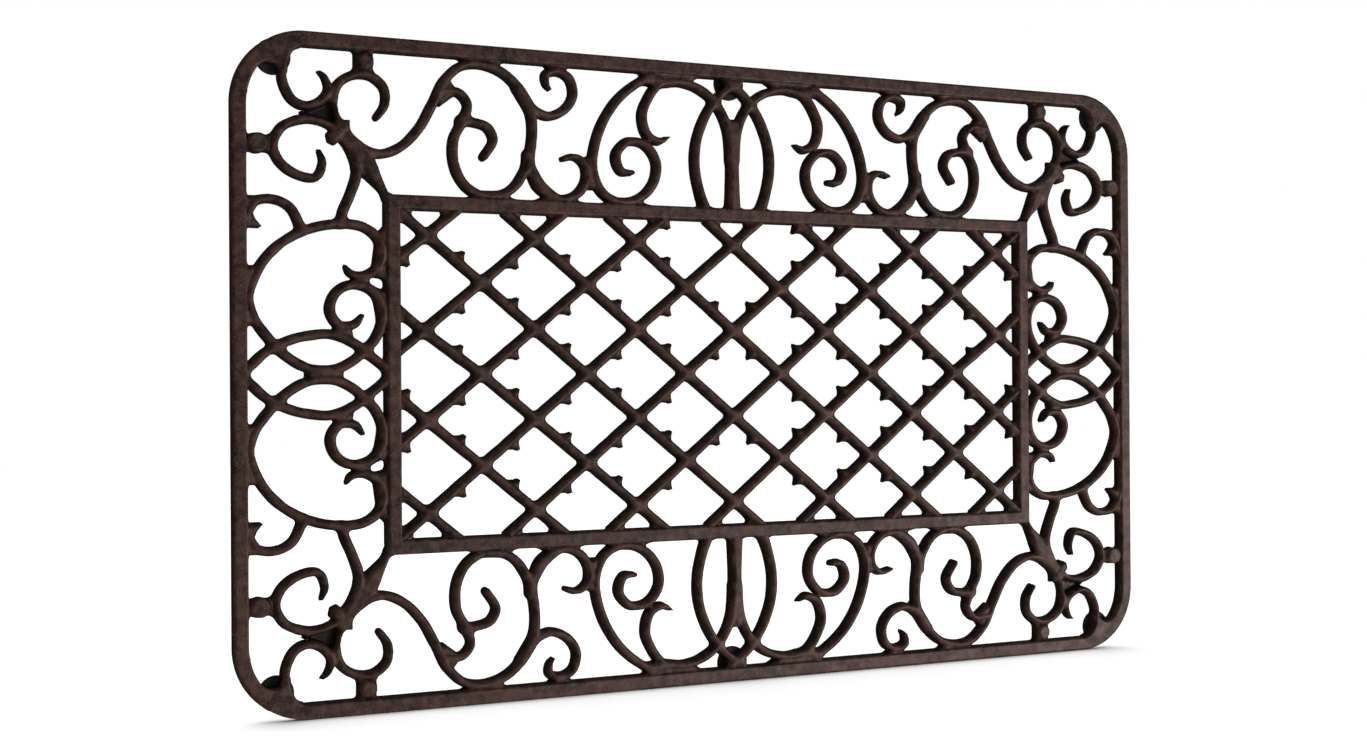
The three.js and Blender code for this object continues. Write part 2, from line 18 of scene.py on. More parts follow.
import bpy
import numpy as np
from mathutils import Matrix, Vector

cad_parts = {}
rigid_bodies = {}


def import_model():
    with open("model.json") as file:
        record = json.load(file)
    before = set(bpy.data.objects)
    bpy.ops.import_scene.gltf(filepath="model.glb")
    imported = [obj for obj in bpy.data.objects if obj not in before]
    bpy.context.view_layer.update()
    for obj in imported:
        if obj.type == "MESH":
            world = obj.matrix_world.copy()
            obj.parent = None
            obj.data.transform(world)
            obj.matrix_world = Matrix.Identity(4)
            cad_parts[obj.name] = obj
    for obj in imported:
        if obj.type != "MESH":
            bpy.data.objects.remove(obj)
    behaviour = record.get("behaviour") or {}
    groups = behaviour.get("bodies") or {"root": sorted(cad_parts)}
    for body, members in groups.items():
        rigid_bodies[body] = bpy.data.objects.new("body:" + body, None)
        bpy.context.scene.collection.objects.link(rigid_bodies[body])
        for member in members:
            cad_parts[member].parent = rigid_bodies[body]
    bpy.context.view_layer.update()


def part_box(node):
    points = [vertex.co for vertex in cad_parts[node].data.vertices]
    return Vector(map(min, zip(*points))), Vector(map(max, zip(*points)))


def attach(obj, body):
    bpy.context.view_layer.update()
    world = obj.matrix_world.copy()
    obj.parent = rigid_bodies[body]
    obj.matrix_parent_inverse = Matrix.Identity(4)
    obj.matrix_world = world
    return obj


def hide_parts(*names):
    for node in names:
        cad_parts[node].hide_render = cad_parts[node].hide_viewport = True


log = logging.getLogger("door_mat")

Array = np.ndarray
Box = tuple[float, float, float, float]
Point = tuple[float, ...]
Socket = bpy.types.NodeSocket
Value = Socket | float | Point

MM = 0.001

# Places on the panel
MIDDLE_U = 375.0
MIDDLE_V = 225.0
CORNER_RADIUS = 49.0
RIM_WIDTH = 9.4
FRAME_BAR = 9.4
FRAME_U = 105.0
FRAME_V = 104.5
INNER_U = FRAME_U + FRAME_BAR
INNER_V = FRAME_V + FRAME_BAR
CORNER_END_U = 48.0
CORNER_END_V = 52.0
HOOK_START = 24.4

# Sizes that several classes share
FOOT_HEIGHT = 4.0
SCROLL_BAR = 5.2
WELD = 1.2
FAR = 20.0
TINY = 1e-6


def smooth_union(first: Array, second: Array, fillet: Array | float) -> Array:
    """Join two outlines with a fillet in every inner corner between them.

    Args:
        first: Distance to one outline, negative inside it.
        second: Distance to the other outline.
        fillet: How far from the corner the fillet starts.

    Returns:
        Distance to the joined outline.
    """
    overlap = np.maximum(fillet - np.abs(first - second), 0.0) / fillet
    return np.minimum(first, second) - overlap**2 * fillet / 4.0


def corner_edge(us: Array, vs: Array, centre: Point, radius: float = 0.0) -> Array:
    """Distance to the outer edge of a border with a rounded corner.

    Args:
        us: Grid lines along u.
        vs: Grid lines along v.
        centre: Centre of the rounding.
        radius: Radius of the rounding.

    Returns:
        Distances on the grid, negative inside the edge.
    """
    over_u = centre[0] - us[:, None]
    over_v = centre[1] - vs[None, :]
    beyond = np.hypot(np.maximum(over_u, 0.0), np.maximum(over_v, 0.0))
    return np.minimum(np.maximum(over_u, over_v), 0.0) + beyond - radius


@dataclass(frozen=True)
class Waver:
    """Slow unevenness of a hand-finished pattern."""

    seed: int
    size: float
    depth: float
    waves: int = 9
    spread: tuple[float, float] = (0.7, 1.6)

    def at(self, us: Array, vs: Array) -> Array:
        """The unevenness on a grid.

        Args:
            us: Grid lines along u.
            vs: Grid lines along v.

        Returns:
            Offsets on the grid, mostly smaller than the depth.
        """
        u, v = us[:, None], vs[None, :]
        rng = np.random.default_rng(self.seed)
        total = np.zeros((len(us), len(vs)))
        for _ in range(self.waves):
            turn = rng.uniform(0.0, 2.0 * math.pi)
            pace = 2.0 * math.pi / (self.size * rng.uniform(*self.spread))
            shift = rng.uniform(0.0, 2.0 * math.pi)
            total += np.sin(pace * (u * math.cos(turn) + v * math.sin(turn)) + shift)
        return self.depth * (total / (self.waves / 2.0))


@dataclass(frozen=True)
class Crown:
    """The rounded back of a bar, upright up to its shoulder."""

    shoulder: float
    crest: float
    reach: float = SCROLL_BAR / 2.0
    power: float = 1.6
    plunge: float = 1.0

    def height(self, distance: Array) -> Array:
        """Height of the back.

        Args:
            distance: Distance to the outline, negative inside it.

        Returns:
            The height over the back of the iron, falling on outside the outline.
        """
        share = np.clip(-distance / self.reach, -1.0, 1.0)
        rise = 1.0 - (1.0 - np.maximum(share, 0.0)) ** self.power
        fall = self.plunge * self.power * np.minimum(share, 0.0)
        return self.shoulder + (self.crest - self.shoulder) * (rise + fall)


@dataclass(frozen=True)
class FlatFace:
    """A flat face with rounded edges."""

    top: float
    edge: float
    fall: float = 1.5

    def height(self, distance: Array) -> Array:
        """Height of the face.

        Args:
            distance: Distance to the outline, negative inside it.

        Returns:
            The height over the back of the iron, falling on outside the outline.
        """
        inside = np.clip(-distance / self.edge, 0.0, 1.0)
        drop = self.edge * (1.0 - np.sqrt(1.0 - (1.0 - inside) ** 2))
        return self.top - drop - self.fall * np.maximum(distance, 0.0)


@dataclass(frozen=True)
class Stroke:
    """One scroll bar through listed points (u, v, width)."""

    MARGIN: ClassVar[float] = 7.0
    points: tuple[Point, ...]

    def mirrored_u(self) -> Stroke:
        """The same bar on the other side of the middle of the length."""
        return Stroke(tuple((2.0 * MIDDLE_U - p[0], *p[1:]) for p in self.points))

    def mirrored_v(self) -> Stroke:
        """The same bar on the other side of the middle of the width."""
        return Stroke(tuple((p[0], 2.0 * MIDDLE_V - p[1], *p[2:]) for p in self.points))

    def path(self, step: float = 1.6) -> Array:
        """Points along the smooth curve of the bar.

        Args:
            step: Greatest distance between two points.

        Returns:
            Rows of u, v and width.
        """
        knots = np.array([p if len(p) == 3 else (*p, SCROLL_BAR) for p in self.points], float)
        ends = np.vstack([2.0 * knots[0] - knots[1], knots, 2.0 * knots[-1] - knots[-2]])
        spans = [self._span(ends[i : i + 4], step) for i in range(len(knots) - 1)]
        return np.vstack([*spans, knots[-1:]])

    @staticmethod
    def _span(quad: Array, step: float) -> Array:
        """The curve between the middle two of four knots.

        Args:
            quad: Four knots in order.
            step: Greatest distance between two points.

        Returns:
            Rows of u, v and width, without the last one.
        """
        gaps = np.maximum(np.linalg.norm(np.diff(quad, axis=0), axis=1) ** 0.5, 1e-4)
        before, here, after = gaps
        p0, p1, p2, p3 = quad
        start = (p1 - p0) / before - (p2 - p0) / (before + here) + (p2 - p1) / here
        end = (p2 - p1) / here - (p3 - p1) / (here + after) + (p3 - p2) / after
        start, end = start * here, end * here
        count = max(2, math.ceil(here**2 / step))
        t = np.linspace(0.0, 1.0, count, endpoint=False)[:, None]
        square = -3.0 * p1 + 3.0 * p2 - 2.0 * start - end
        cube = 2.0 * p1 - 2.0 * p2 + start + end
        return p1 + start * t + square * t**2 + cube * t**3

    def distance(self, us: Array, vs: Array) -> Array:
        """Distance to the edge of the bar.

        Args:
            us: Grid lines along u.
            vs: Grid lines along v.

        Returns:
            Distances on the grid, negative inside the bar and FAR well away from it.
        """
        found = np.full((len(us), len(vs)), FAR)
        path = self.path()
        for (ua, va, wa), (ub, vb, wb) in zip(path[:-1], path[1:]):
            reach = 0.5 * max(wa, wb) + self.MARGIN
            i0, i1 = np.searchsorted(us, (min(ua, ub) - reach, max(ua, ub) + reach))
            j0, j1 = np.searchsorted(vs, (min(va, vb) - reach, max(va, vb) + reach))
            if i0 == i1 or j0 == j1:
                continue
            du = us[i0:i1, None] - ua
            dv = vs[None, j0:j1] - va
            run_u, run_v = ub - ua, vb - va
            run = max(run_u**2 + run_v**2, 1e-9)
            share = np.clip((du * run_u + dv * run_v) / run, 0.0, 1.0)
            gap = np.hypot(du - share * run_u, dv - share * run_v)
            window = found[i0:i1, j0:j1]
            np.minimum(window, gap - 0.5 * (wa + share * (wb - wa)), out=window)
        return found


@dataclass(frozen=True)
class Plate:
    """A flat web with straight sides between bars."""

    corners: tuple[Point, ...]

    def distance(self, us: Array, vs: Array) -> Array:
        """Distance to the edge of the web.

        Args:
            us: Grid lines along u.
            vs: Grid lines along v.

        Returns:
            Distances on the grid, negative inside the web.
        """
        u, v = us[:, None], vs[None, :]
        nearest = np.full((len(us), len(vs)), np.inf)
        inside = np.zeros(nearest.shape, bool)
        for (ua, va), (ub, vb) in zip(self.corners, self.corners[1:] + self.corners[:1]):
            run_u, run_v = ub - ua, vb - va
            du, dv = u - ua, v - va
            share = np.clip((du * run_u + dv * run_v) / (run_u**2 + run_v**2), 0.0, 1.0)
            nearest = np.minimum(nearest, np.hypot(du - share * run_u, dv - share * run_v))
            if va != vb:
                crosses = (va > v) != (vb > v)
                inside ^= crosses & (u < ua + run_u * (v - va) / run_v)
        return np.where(inside, -nearest, nearest)


@dataclass(frozen=True)
class Stub:
    """A short thick bar along the grid."""

    low_u: float
    low_v: float
    high_u: float
    high_v: float

    def distance(self, us: Array, vs: Array) -> Array:
        """Distance to the sides of the bar.

        Args:
            us: Grid lines along u.
            vs: Grid lines along v.

        Returns:
            Distances on the grid, negative inside the bar.
        """
        over_u = np.maximum(self.low_u - us, us - self.high_u)[:, None]
        over_v = np.maximum(self.low_v - vs, vs - self.high_v)[None, :]
        return np.maximum(over_u, over_v)


@dataclass(frozen=True)
class Disc:
    """A round boss."""

    u: float
    v: float
    radius: float

    def distance(self, us: Array, vs: Array) -> Array:
        """Distance to the edge of the boss, negative inside it."""
        return np.hypot(us[:, None] - self.u, vs[None, :] - self.v) - self.radius


def closest(shapes: Iterable[Plate | Stub | Disc], us: Array, vs: Array) -> Array:
    """Distance to the nearest of several outlines.

    Args:
        shapes: The outlines.
        us: Grid lines along u.
        vs: Grid lines along v.

    Returns:
        Distances on the grid, negative inside an outline and FAR at most.
    """
    found = np.full((len(us), len(vs)), FAR)
    for shape in shapes:
        found = np.minimum(found, shape.distance(us, vs))
    return found


@dataclass
class Shell:
    """A closed piece of the casting in panel millimetres."""

    places: Array
    faces: list[tuple[int, ...]]

    def put(self, name: str, flip_u: bool, flip_v: bool) -> bpy.types.Object:
        """Make the piece in one quarter of the mat.

        Args:
            name: Name of the piece.
            flip_u: Put it at the right end.
            flip_v: Put it on the front side.

        Returns:
            The new object.
        """
        x = self.places[:, 0] - MIDDLE_U
        y = MIDDLE_V - self.places[:, 1]
        z = self.places[:, 2] + FOOT_HEIGHT
        verts = np.stack([-x if flip_u else x, -y if flip_v else y, z], axis=1) * MM
        faces = self.faces
        if flip_u == flip_v:
            faces = [face[::-1] for face in faces]
        return Workshop.make_object(name, verts, faces)


class Fold(Enum):
    """Which middle line a piece spans: its grid axis, and the flips for its two sides."""

    LENGTH = (0, {"back": (False, False), "front": (False, True)})
    WIDTH = (1, {"left": (False, False), "right": (True, False)})

    def __init__(self, axis: int, sides: dict[str, tuple[bool, bool]]) -> None:
        """Keep both parts of the value by name."""
        self.axis = axis
        self.sides = sides


class Role(Enum):
    """Whether a piece keeps or leaves a boundary that lies on its outline."""

    KEEPS_EDGE = -1e-3
    LEAVES_EDGE = 1e-3


@dataclass
class Sheet:
    """Outline and height of the casting on a grid of u and v lines."""

    MOST_MOVE: ClassVar[float] = 0.4
    LEAST_SLOPE: ClassVar[float] = 0.1
    WAIST_DEPTH: ClassVar[float] = 0.9
    WAIST_LEAN: ClassVar[float] = 0.1

    us: Array
    vs: Array
    fixed_u: Array
    fixed_v: Array
    level: Array
    height: Array
    lean: Array
    u: Array = field(init=False)
    v: Array = field(init=False)

    def __post_init__(self) -> None:
        """Start with every grid point in its own place."""
        self.u = np.broadcast_to(self.us[:, None], self.level.shape).copy()
        self.v = np.broadcast_to(self.vs[None, :], self.level.shape).copy()

    def settled(self, role: Role) -> Sheet:
        """Move the grid points beside the outline onto it.

        Args:
            role: What happens where the outline lies on a grid line.

        Returns:
            A new sheet whose points beside the outline have level 0.
        """
        level = np.where(np.abs(self.level) < TINY, role.value, self.level)
        slope_u, slope_v = np.gradient(self.level, self.us, self.vs)
        slope_u = np.where(self.fixed_u[:, None], 0.0, slope_u)
        slope_v = np.where(self.fixed_v[None, :], 0.0, slope_v)
        steep = slope_u**2 + slope_v**2
        share = -level / np.maximum(steep, 1e-9)
        move_u, move_v = share * slope_u, share * slope_v
        room = np.minimum(self._room(self.us)[:, None], self._room(self.vs)[None, :])
        near = (np.hypot(move_u, move_v) < self.MOST_MOVE * room) & (steep > self.LEAST_SLOPE)
        level = np.where(near, 0.0, level)
        rise_u, rise_v = np.gradient(self.height, self.us, self.vs)
        height = self.height + np.where(near, rise_u * move_u + rise_v * move_v, 0.0)
        sheet = Sheet(self.us, self.vs, self.fixed_u, self.fixed_v, level, height, self.lean)
        sheet.u = sheet.u + np.where(near, move_u, 0.0)
        sheet.v = sheet.v + np.where(near, move_v, 0.0)
        return sheet

    @staticmethod
    def _room(lines: Array) -> Array:
        """Distance from each line to its nearest neighbour."""
        gaps = np.diff(lines)
        return np.minimum(np.append(gaps, gaps[-1]), np.insert(gaps, 0, gaps[0]))

    def cells(self, boxes: list[Box]) -> Array:
        """Grid cells inside boxes.

        Args:
            boxes: Boxes from corner (u0, v0) to corner (u1, v1).

        Returns:
            One flag for each cell.
        """
        mid_u = 0.5 * (self.us[1:] + self.us[:-1])[:, None]
        mid_v = 0.5 * (self.vs[1:] + self.vs[:-1])[None, :]
        found = np.zeros((len(self.us) - 1, len(self.vs) - 1), bool)
        for u0, v0, u1, v1 in boxes:
            found |= (mid_u > u0) & (mid_u < u1) & (mid_v > v0) & (mid_v < v1)
        return found

    def unfolded(self, fold: Fold, cells: Array) -> tuple[Sheet, Array]:
        """Add the mirror image beyond a middle line.

        Args:
            fold: The middle line.
            cells: Flags of the cells in use.

        Returns:
            The doubled sheet and flags.
        """
        axis = fold.axis
        middle = (MIDDLE_U, MIDDLE_V)[axis]

        def double(values: Array, keep_middle: bool = False) -> Array:
            """Append the flipped values.

            Args:
                values: Values of grid points or cells.
                keep_middle: Keep the first flipped row, as for cells, which have none on the line.

            Returns:
                The doubled values.
            """
            back = np.flip(values, axis)
            back = back if keep_middle else np.delete(back, 0, axis)
            return np.concatenate([values, back], axis)

        beyond: list[slice] = [slice(None), slice(None)]
        beyond[axis] = slice(self.level.shape[axis], None)
        lines = [self.us, self.vs]
        fixed = [self.fixed_u, self.fixed_v]
        lines[axis] = np.append(lines[axis], 2.0 * middle - lines[axis][-2::-1])
        fixed[axis] = np.append(fixed[axis], fixed[axis][-2::-1])
        lean = double(self.lean)
        lean[tuple(beyond)][..., axis] *= -1.0
        sheet = Sheet(*lines, *fixed, double(self.level), double(self.height), lean)
        places = [double(self.u), double(self.v)]
        places[axis][tuple(beyond)] = 2.0 * middle - places[axis][tuple(beyond)]
        sheet.u, sheet.v = places
        return sheet, double(cells, keep_middle=True)

    def shell(self, cells: Array) -> Shell:
        """Make a closed piece from the iron inside some cells.

        Args:
            cells: Flags of the cells in use.

        Returns:
            The piece, with its face up and a flat back at height 0.
        """
        columns, loops = self._face(cells)
        places, lean = columns[:, :3], columns[:, 3:]
        starts = np.concatenate([np.ravel(loop) for loop in loops])
        ends = np.concatenate([np.ravel(np.roll(loop, -1, axis=-1)) for loop in loops])
        total = len(places)
        border = ~np.isin(starts * total + ends, ends * total + starts)
        used = np.unique(starts)
        number = np.full(total, -1)
        number[used] = np.arange(len(used))
        top = places[used]
        rim = np.unique(starts[border])
        waist = places[rim]
        waist[:, :2] += self.WAIST_LEAN * lean[rim]
        waist[:, 2] = np.maximum(waist[:, 2] - self.WAIST_DEPTH, 0.5 * waist[:, 2])
        waist_number = np.full(total, -1)
        waist_number[rim] = np.arange(len(rim)) + len(used)
        back = top * (1.0, 1.0, 0.0)
        back[number[rim], :2] += lean[rim]
        offset = len(used) + len(rim)
        faces: list[tuple[int, ...]] = []
        for loop in loops:
            rows = number[np.atleast_2d(loop)]
            faces += map(tuple, rows.tolist())
            faces += map(tuple, (rows[:, ::-1] + offset).tolist())
        a, b = starts[border], ends[border]
        upper = np.stack([number[b], number[a], waist_number[a], waist_number[b]], 1)
        lower = np.stack([waist_number[b], waist_number[a], number[a] + offset, number[b] + offset], 1)
        faces += map(tuple, np.vstack([upper, lower]).tolist())
        return Shell(np.vstack([top, waist, back]), faces)

    def _face(self, cells: Array) -> tuple[Array, list[Array]]:
        """Clip the cells of the face along the outline.

        Args:
            cells: Flags of the cells in use.

        Returns:
            All places, and arrays of faces as rows of place numbers.
        """
        inside = self.level <= 0.0
        node = np.arange(inside.size).reshape(inside.shape)
        grid = np.concatenate([np.stack([self.u, self.v, self.height], -1), self.lean], -1)
        places = [grid.reshape(-1, 5)]
        offset = inside.size
        edges = []
        low, high, every = slice(None, -1), slice(1, None), slice(None)
        for first, second in (((low, every), (high, every)), ((every, low), (every, high))):
            differ = inside[first] != inside[second]
            here, there = self.level[first], self.level[second]
            share = here[differ] / (here[differ] - there[differ])
            places.append(grid[first][differ] + share[:, None] * (grid[second] - grid[first])[differ])
            number = np.full(differ.shape, -1)
            number[differ] = offset + np.arange(differ.sum())
            offset += int(differ.sum())
            number = np.where(differ & (here == 0.0), node[first], number)
            number = np.where(differ & (there == 0.0), node[second], number)
            edges.append(number)
        around = ((low, low), (high, low), (high, high), (low, high))
        corners = [node[part] for part in around]
        sides = [edges[0][:, :-1], edges[1][1:, :], edges[0][:, 1:], edges[1][:-1, :]]
        kind = sum(inside[part].astype(int) << k for k, part in enumerate(around))
        loops: list[Array] = []
        for case in range(1, 16):
            chosen = cells & (kind == case)
            if not chosen.any():
                continue
            columns = []
            for k in range(4):
                if case >> k & 1:
                    columns.append(corners[k][chosen])
                if (case >> k & 1) != (case >> (k + 1) % 4 & 1):
                    columns.append(sides[k][chosen])
            rows = np.stack(columns, axis=1)
            doubled = (rows == np.roll(rows, 1, axis=1)).any(axis=1)
            loops.append(rows[~doubled])
            for row in rows[doubled].tolist():
                short = [p for p, before in zip(row, row[-1:] + row[:-1]) if p != before]
                if len(set(short)) >= 3:
                    loops.append(np.array(short))
        return np.vstack(places), loops


def outward(level: Array, us: Array, vs: Array, amount: Array | float) -> Array:
    """How far the back of each wall stands out from its top.

    Args:
        level: Distance to the outline.
        us: Grid lines along u.
        vs: Grid lines along v.
        amount: How far the back stands out.

    Returns:
        The offset along u and v at each grid point.
    """
    slope = np.stack(np.gradient(level, us, vs), axis=-1)
    length = np.maximum(np.linalg.norm(slope, axis=-1), 0.5)
    return slope * (amount / length)[..., None]


def ruled(marks: list[float], extra: list[float], step: float) -> tuple[Array, Array]:
    """Grid lines through every mark.

    Args:
        marks: Lines on which pieces meet.
        extra: Further lines.
        step: Greatest distance between two lines.

    Returns:
        The lines, and a flag for each line on which pieces meet.
    """
    stops = sorted(set(marks) | set(extra))
    lines = [stops[0]]
    for start, end in zip(stops, stops[1:]):
        count = max(1, math.ceil((end - start) / step - 1e-9))
        lines += [start + (end - start) * k / count for k in range(1, count)] + [end]
    found = np.array(lines)
    return found, np.isin(found, np.array(marks))


class Quarter(Enum):
    """The four quarters of the mat, with whether each is flipped along u and v."""

    BACK_LEFT = (False, False)
    BACK_RIGHT = (True, False)
    FRONT_LEFT = (False, True)
    FRONT_RIGHT = (True, True)

    @property
    def place(self) -> str:
        """The quarter as its pieces are named."""
        return self.name.lower()


class Workshop:
    """Helpers that turn lists of points and faces into scene objects."""

    SHARP_ANGLE = math.radians(50.0)

    @classmethod
    def make_object(
        cls, name: str, verts: Array, faces: list[tuple[int, ...]]
    ) -> bpy.types.Object:
        """Make a smooth-shaded mesh object with its sharp edges kept.

        Args:
            name: Name of the object.
            verts: Points in metres.
            faces: Faces as rows of point numbers.

        Returns:
            The new object.
        """
        mesh = bpy.data.meshes.new(name)
        mesh.from_pydata(verts.tolist(), [], faces)
        mesh.polygons.foreach_set("use_smooth", np.ones(len(mesh.polygons), bool))
        mesh.set_sharp_from_angle(angle=cls.SHARP_ANGLE)
        mesh.update()
        obj = bpy.data.objects.new(name, mesh)
        bpy.context.scene.collection.objects.link(obj)
        return obj

    @staticmethod
    def dress(obj: bpy.types.Object, node: str, slot: str, material: bpy.types.Material) -> None:
        """Give a piece its finish and put it in the place of its node.

        Args:
            obj: The piece.
            node: The node that it replaces.
            slot: The record's material slot; not used.
            material: The finish.
        """
        obj.data.materials.append(material)
        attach(obj, "root")
        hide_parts(node)
        log.info("%s stands for %s with %d faces", obj.name, node, len(obj.data.polygons))


@dataclass(frozen=True)
class Relief:
    """How deep a bump looks, in millimetres, and how strongly it shows."""

    depth: float
    strength: float


class NodeBench:
    """A small helper that wires the nodes of one material."""

    def __init__(self, name: str) -> None:
        """Start a material with only its output and main shader.

        Args:
            name: Name of the material.
        """
        self.material = bpy.data.materials.new(name)
        self.material.use_nodes = True
        self.tree = self.material.node_tree
        self.shader = self.tree.nodes["Principled BSDF"]
        self.places = self.tree.nodes.new("ShaderNodeTexCoord").outputs["Object"]

    def fill(self, node: bpy.types.Node, inputs: dict[str | int, Value]) -> bpy.types.Node:
        """Link or set sockets of a node.

        Args:
            node: The node.
            inputs: What goes into its sockets, by name or number.

        Returns:
            The same node.
        """
        for name, value in inputs.items():
            if isinstance(value, Socket):
                self.tree.links.new(value, node.inputs[name])
            elif isinstance(value, tuple):
                node.inputs[name].default_value = (*value, 1.0)
            else:
                node.inputs[name].default_value = value
        return node

    def noise(self, size: float, detail: float = 2.0, roughness: float = 0.5) -> Socket:
        """Cloudy noise.

        Args:
            size: Size of a cloud in millimetres.
            detail: Octaves of detail.
            roughness: Strength of the finer octaves.

        Returns:
            The noise value.
        """
        node = self.fill(self.tree.nodes.new("ShaderNodeTexNoise"), {
            "Vector": self.places, "Scale": 1.0 / (size * MM), "Detail": detail,
            "Roughness": roughness,
        })
        return node.outputs["Fac"]

    def ranged(
        self, value: Socket, low: float, high: float, start: float = 0.0, end: float = 1.0
    ) -> Socket:
        """Map a value from one range to another, held at its ends.

        Args:
            value: The value.
            low: Start of its range.
            high: End of its range.
            start: Result at the start.
            end: Result at the end.

        Returns:
            The mapped value.
        """
        node = self.fill(self.tree.nodes.new("ShaderNodeMapRange"), {
            "Value": value, "From Min": low, "From Max": high, "To Min": start, "To Max": end,
        })
        return node.outputs["Result"]

    def mixed(self, share: Socket | float, first: Socket | Point, second: Socket | Point) -> Socket:
        """Mix two colours.

        Args:
            share: How much of the second colour.
            first: The first colour.
            second: The second colour.

        Returns:
            The mixed colour.
        """
        node = self.tree.nodes.new("ShaderNodeMix")
        node.data_type = "RGBA"
        return self.fill(node, {"Factor": share, 6: first, 7: second}).outputs[2]

    def math(self, operation: str, first: Socket | float, second: Socket | float) -> Socket:
        """Combine two values.

        Args:
            operation: Name of the operation.
            first: The first value.
            second: The second value.

        Returns:
            The result.
        """
        node = self.tree.nodes.new("ShaderNodeMath")
        node.operation = operation
        return self.fill(node, {0: first, 1: second}).outputs["Value"]

    def height(self) -> Socket:
        """Height over the floor in metres."""
        node = self.tree.nodes.new("ShaderNodeSeparateXYZ")
        return self.fill(node, {"Vector": self.places}).outputs["Z"]

    def bump(self, value: Socket, relief: Relief, under: Socket | None = None) -> Socket:
        """Raise the surface by a value.

        Args:
            value: Height between 0 and 1.
            relief: Depth and strength of the effect.
            under: Normal of the relief that this one lies on.

        Returns:
            The normal.
        """
        inputs = {"Height": value, "Distance": relief.depth * MM, "Strength": relief.strength}
        if under is not None:
            inputs["Normal"] = under
        return self.fill(self.tree.nodes.new("ShaderNodeBump"), inputs).outputs["Normal"]

    def finished(self, inputs: dict[str, Value]) -> bpy.types.Material:
        """Give the main shader its inputs and hand out the material."""
        self.fill(self.shader, inputs)
        return self.material


@dataclass(frozen=True)
class IronFinish:
    """Dark brown coating over a sand-cast skin, with painted shade low down, a painted highlight on its
    crests and painted glint specks.
    """

    brown: Point = (0.053, 0.0225, 0.0150)
    dark: Point = (0.0175, 0.0080, 0.0058)
    tan: Point = (0.100, 0.052, 0.038)
    # Painted shade: near-black olive laid over the low parts of the iron
    olive: Point = (0.0060, 0.0046, 0.0036)
    # Painted highlight: pale colour laid in patches on the crests and as glint specks
    rubbed: Point = (0.170, 0.132, 0.122)
    sheen: Point = (1.0, 0.80, 0.77)
    gloss: float = 0.25
    smoothest: float = 0.36
    roughest: float = 0.60
    cloud_size: float = 26.0
    gloss_size: float = 9.0
    patch_size: float = 6.5
    ripple_size: float = 5.0
    grain_size: float = 1.4
    speck_size: float = 0.9
    tan_share: float = 0.7
    # How much painted shade and painted highlight go in, and at which heights
    olive_share: float = 0.9
    rubbed_share: float = 0.35
    hollow_heights: tuple[float, float] = (0.0115, 0.0075)
    crest_heights: tuple[float, float] = (0.0121, 0.0128)
    ripple: Relief = Relief(depth=0.35, strength=0.30)
    skin: Relief = Relief(depth=0.26, strength=0.75)

    def material(self) -> bpy.types.Material:
        """Make the finish.

        Returns:
            The material.
        """
        bench = NodeBench("brown_iron_coating")
        clouds = bench.ranged(bench.noise(self.cloud_size, 3.0), 0.36, 0.66)
        patches = bench.ranged(bench.noise(self.patch_size, 4.0, 0.6), 0.42, 0.68)
        grain = bench.noise(self.grain_size, 3.0, 0.65)
        # Painted glints: pale specks scattered over the surface
        glint_specks = bench.ranged(bench.noise(self.speck_size), 0.64, 0.72)
        # Painted shade: darker and more olive towards the bottom of the iron, down the walls and in the
        # sunk web
        painted_shade_mask = bench.ranged(bench.height(), *self.hollow_heights)
        # Painted highlight: pale patches on the topmost crests
        crests = bench.ranged(bench.height(), *self.crest_heights)
        crest_glint = bench.ranged(grain, 0.55, 0.72, 0.0, self.rubbed_share)
        colour = bench.mixed(clouds, self.dark, self.brown)
        colour = bench.mixed(bench.math("MULTIPLY", patches, self.tan_share), colour, self.tan)
        # Painted shade low down, then painted highlight on the crests and painted glint specks
        colour = bench.mixed(bench.math("MULTIPLY", painted_shade_mask, self.olive_share), colour, self.olive)
        colour = bench.mixed(bench.math("MULTIPLY", crests, crest_glint), colour, self.rubbed)
        colour = bench.mixed(bench.math("MULTIPLY", glint_specks, self.rubbed_share), colour, self.rubbed)
        uneven = bench.math("ADD", grain, bench.noise(self.gloss_size))
        ripple = bench.bump(bench.noise(self.ripple_size, 3.0), self.ripple)
        return bench.finished({
            "Base Color": colour,
            "Roughness": bench.ranged(uneven, 0.7, 1.3, self.smoothest, self.roughest),
            "Specular IOR Level": self.gloss,
            "Specular Tint": self.sheen,
            "Normal": bench.bump(grain, self.skin, ripple),
        })


@dataclass(frozen=True)
class RubberFinish:
    """Matt black moulded rubber, a little dusty."""

    black: Point = (0.012, 0.012, 0.0115)
    dust: Point = (0.060, 0.056, 0.050)
    gloss: float = 0.35
    smoothest: float = 0.62
    roughest: float = 0.85
    dust_size: float = 3.0
    dust_share: float = 0.5
    gloss_size: float = 1.4
    grain_size: float = 0.5
    skin: Relief = Relief(depth=0.08, strength=0.4)

    def material(self) -> bpy.types.Material:
        """Make the finish.

        Returns:
            The material.
        """
        bench = NodeBench("black_rubber")
        dust = bench.ranged(bench.noise(self.dust_size, 4.0, 0.6), 0.5, 0.75, 0.0, self.dust_share)
        uneven = bench.noise(self.gloss_size, 3.0)
        return bench.finished({
            "Base Color": bench.mixed(dust, self.black, self.dust),
            "Roughness": bench.ranged(uneven, 0.3, 0.7, self.smoothest, self.roughest),
            "Specular IOR Level": self.gloss,
            "Normal": bench.bump(bench.noise(self.grain_size), self.skin),
        })


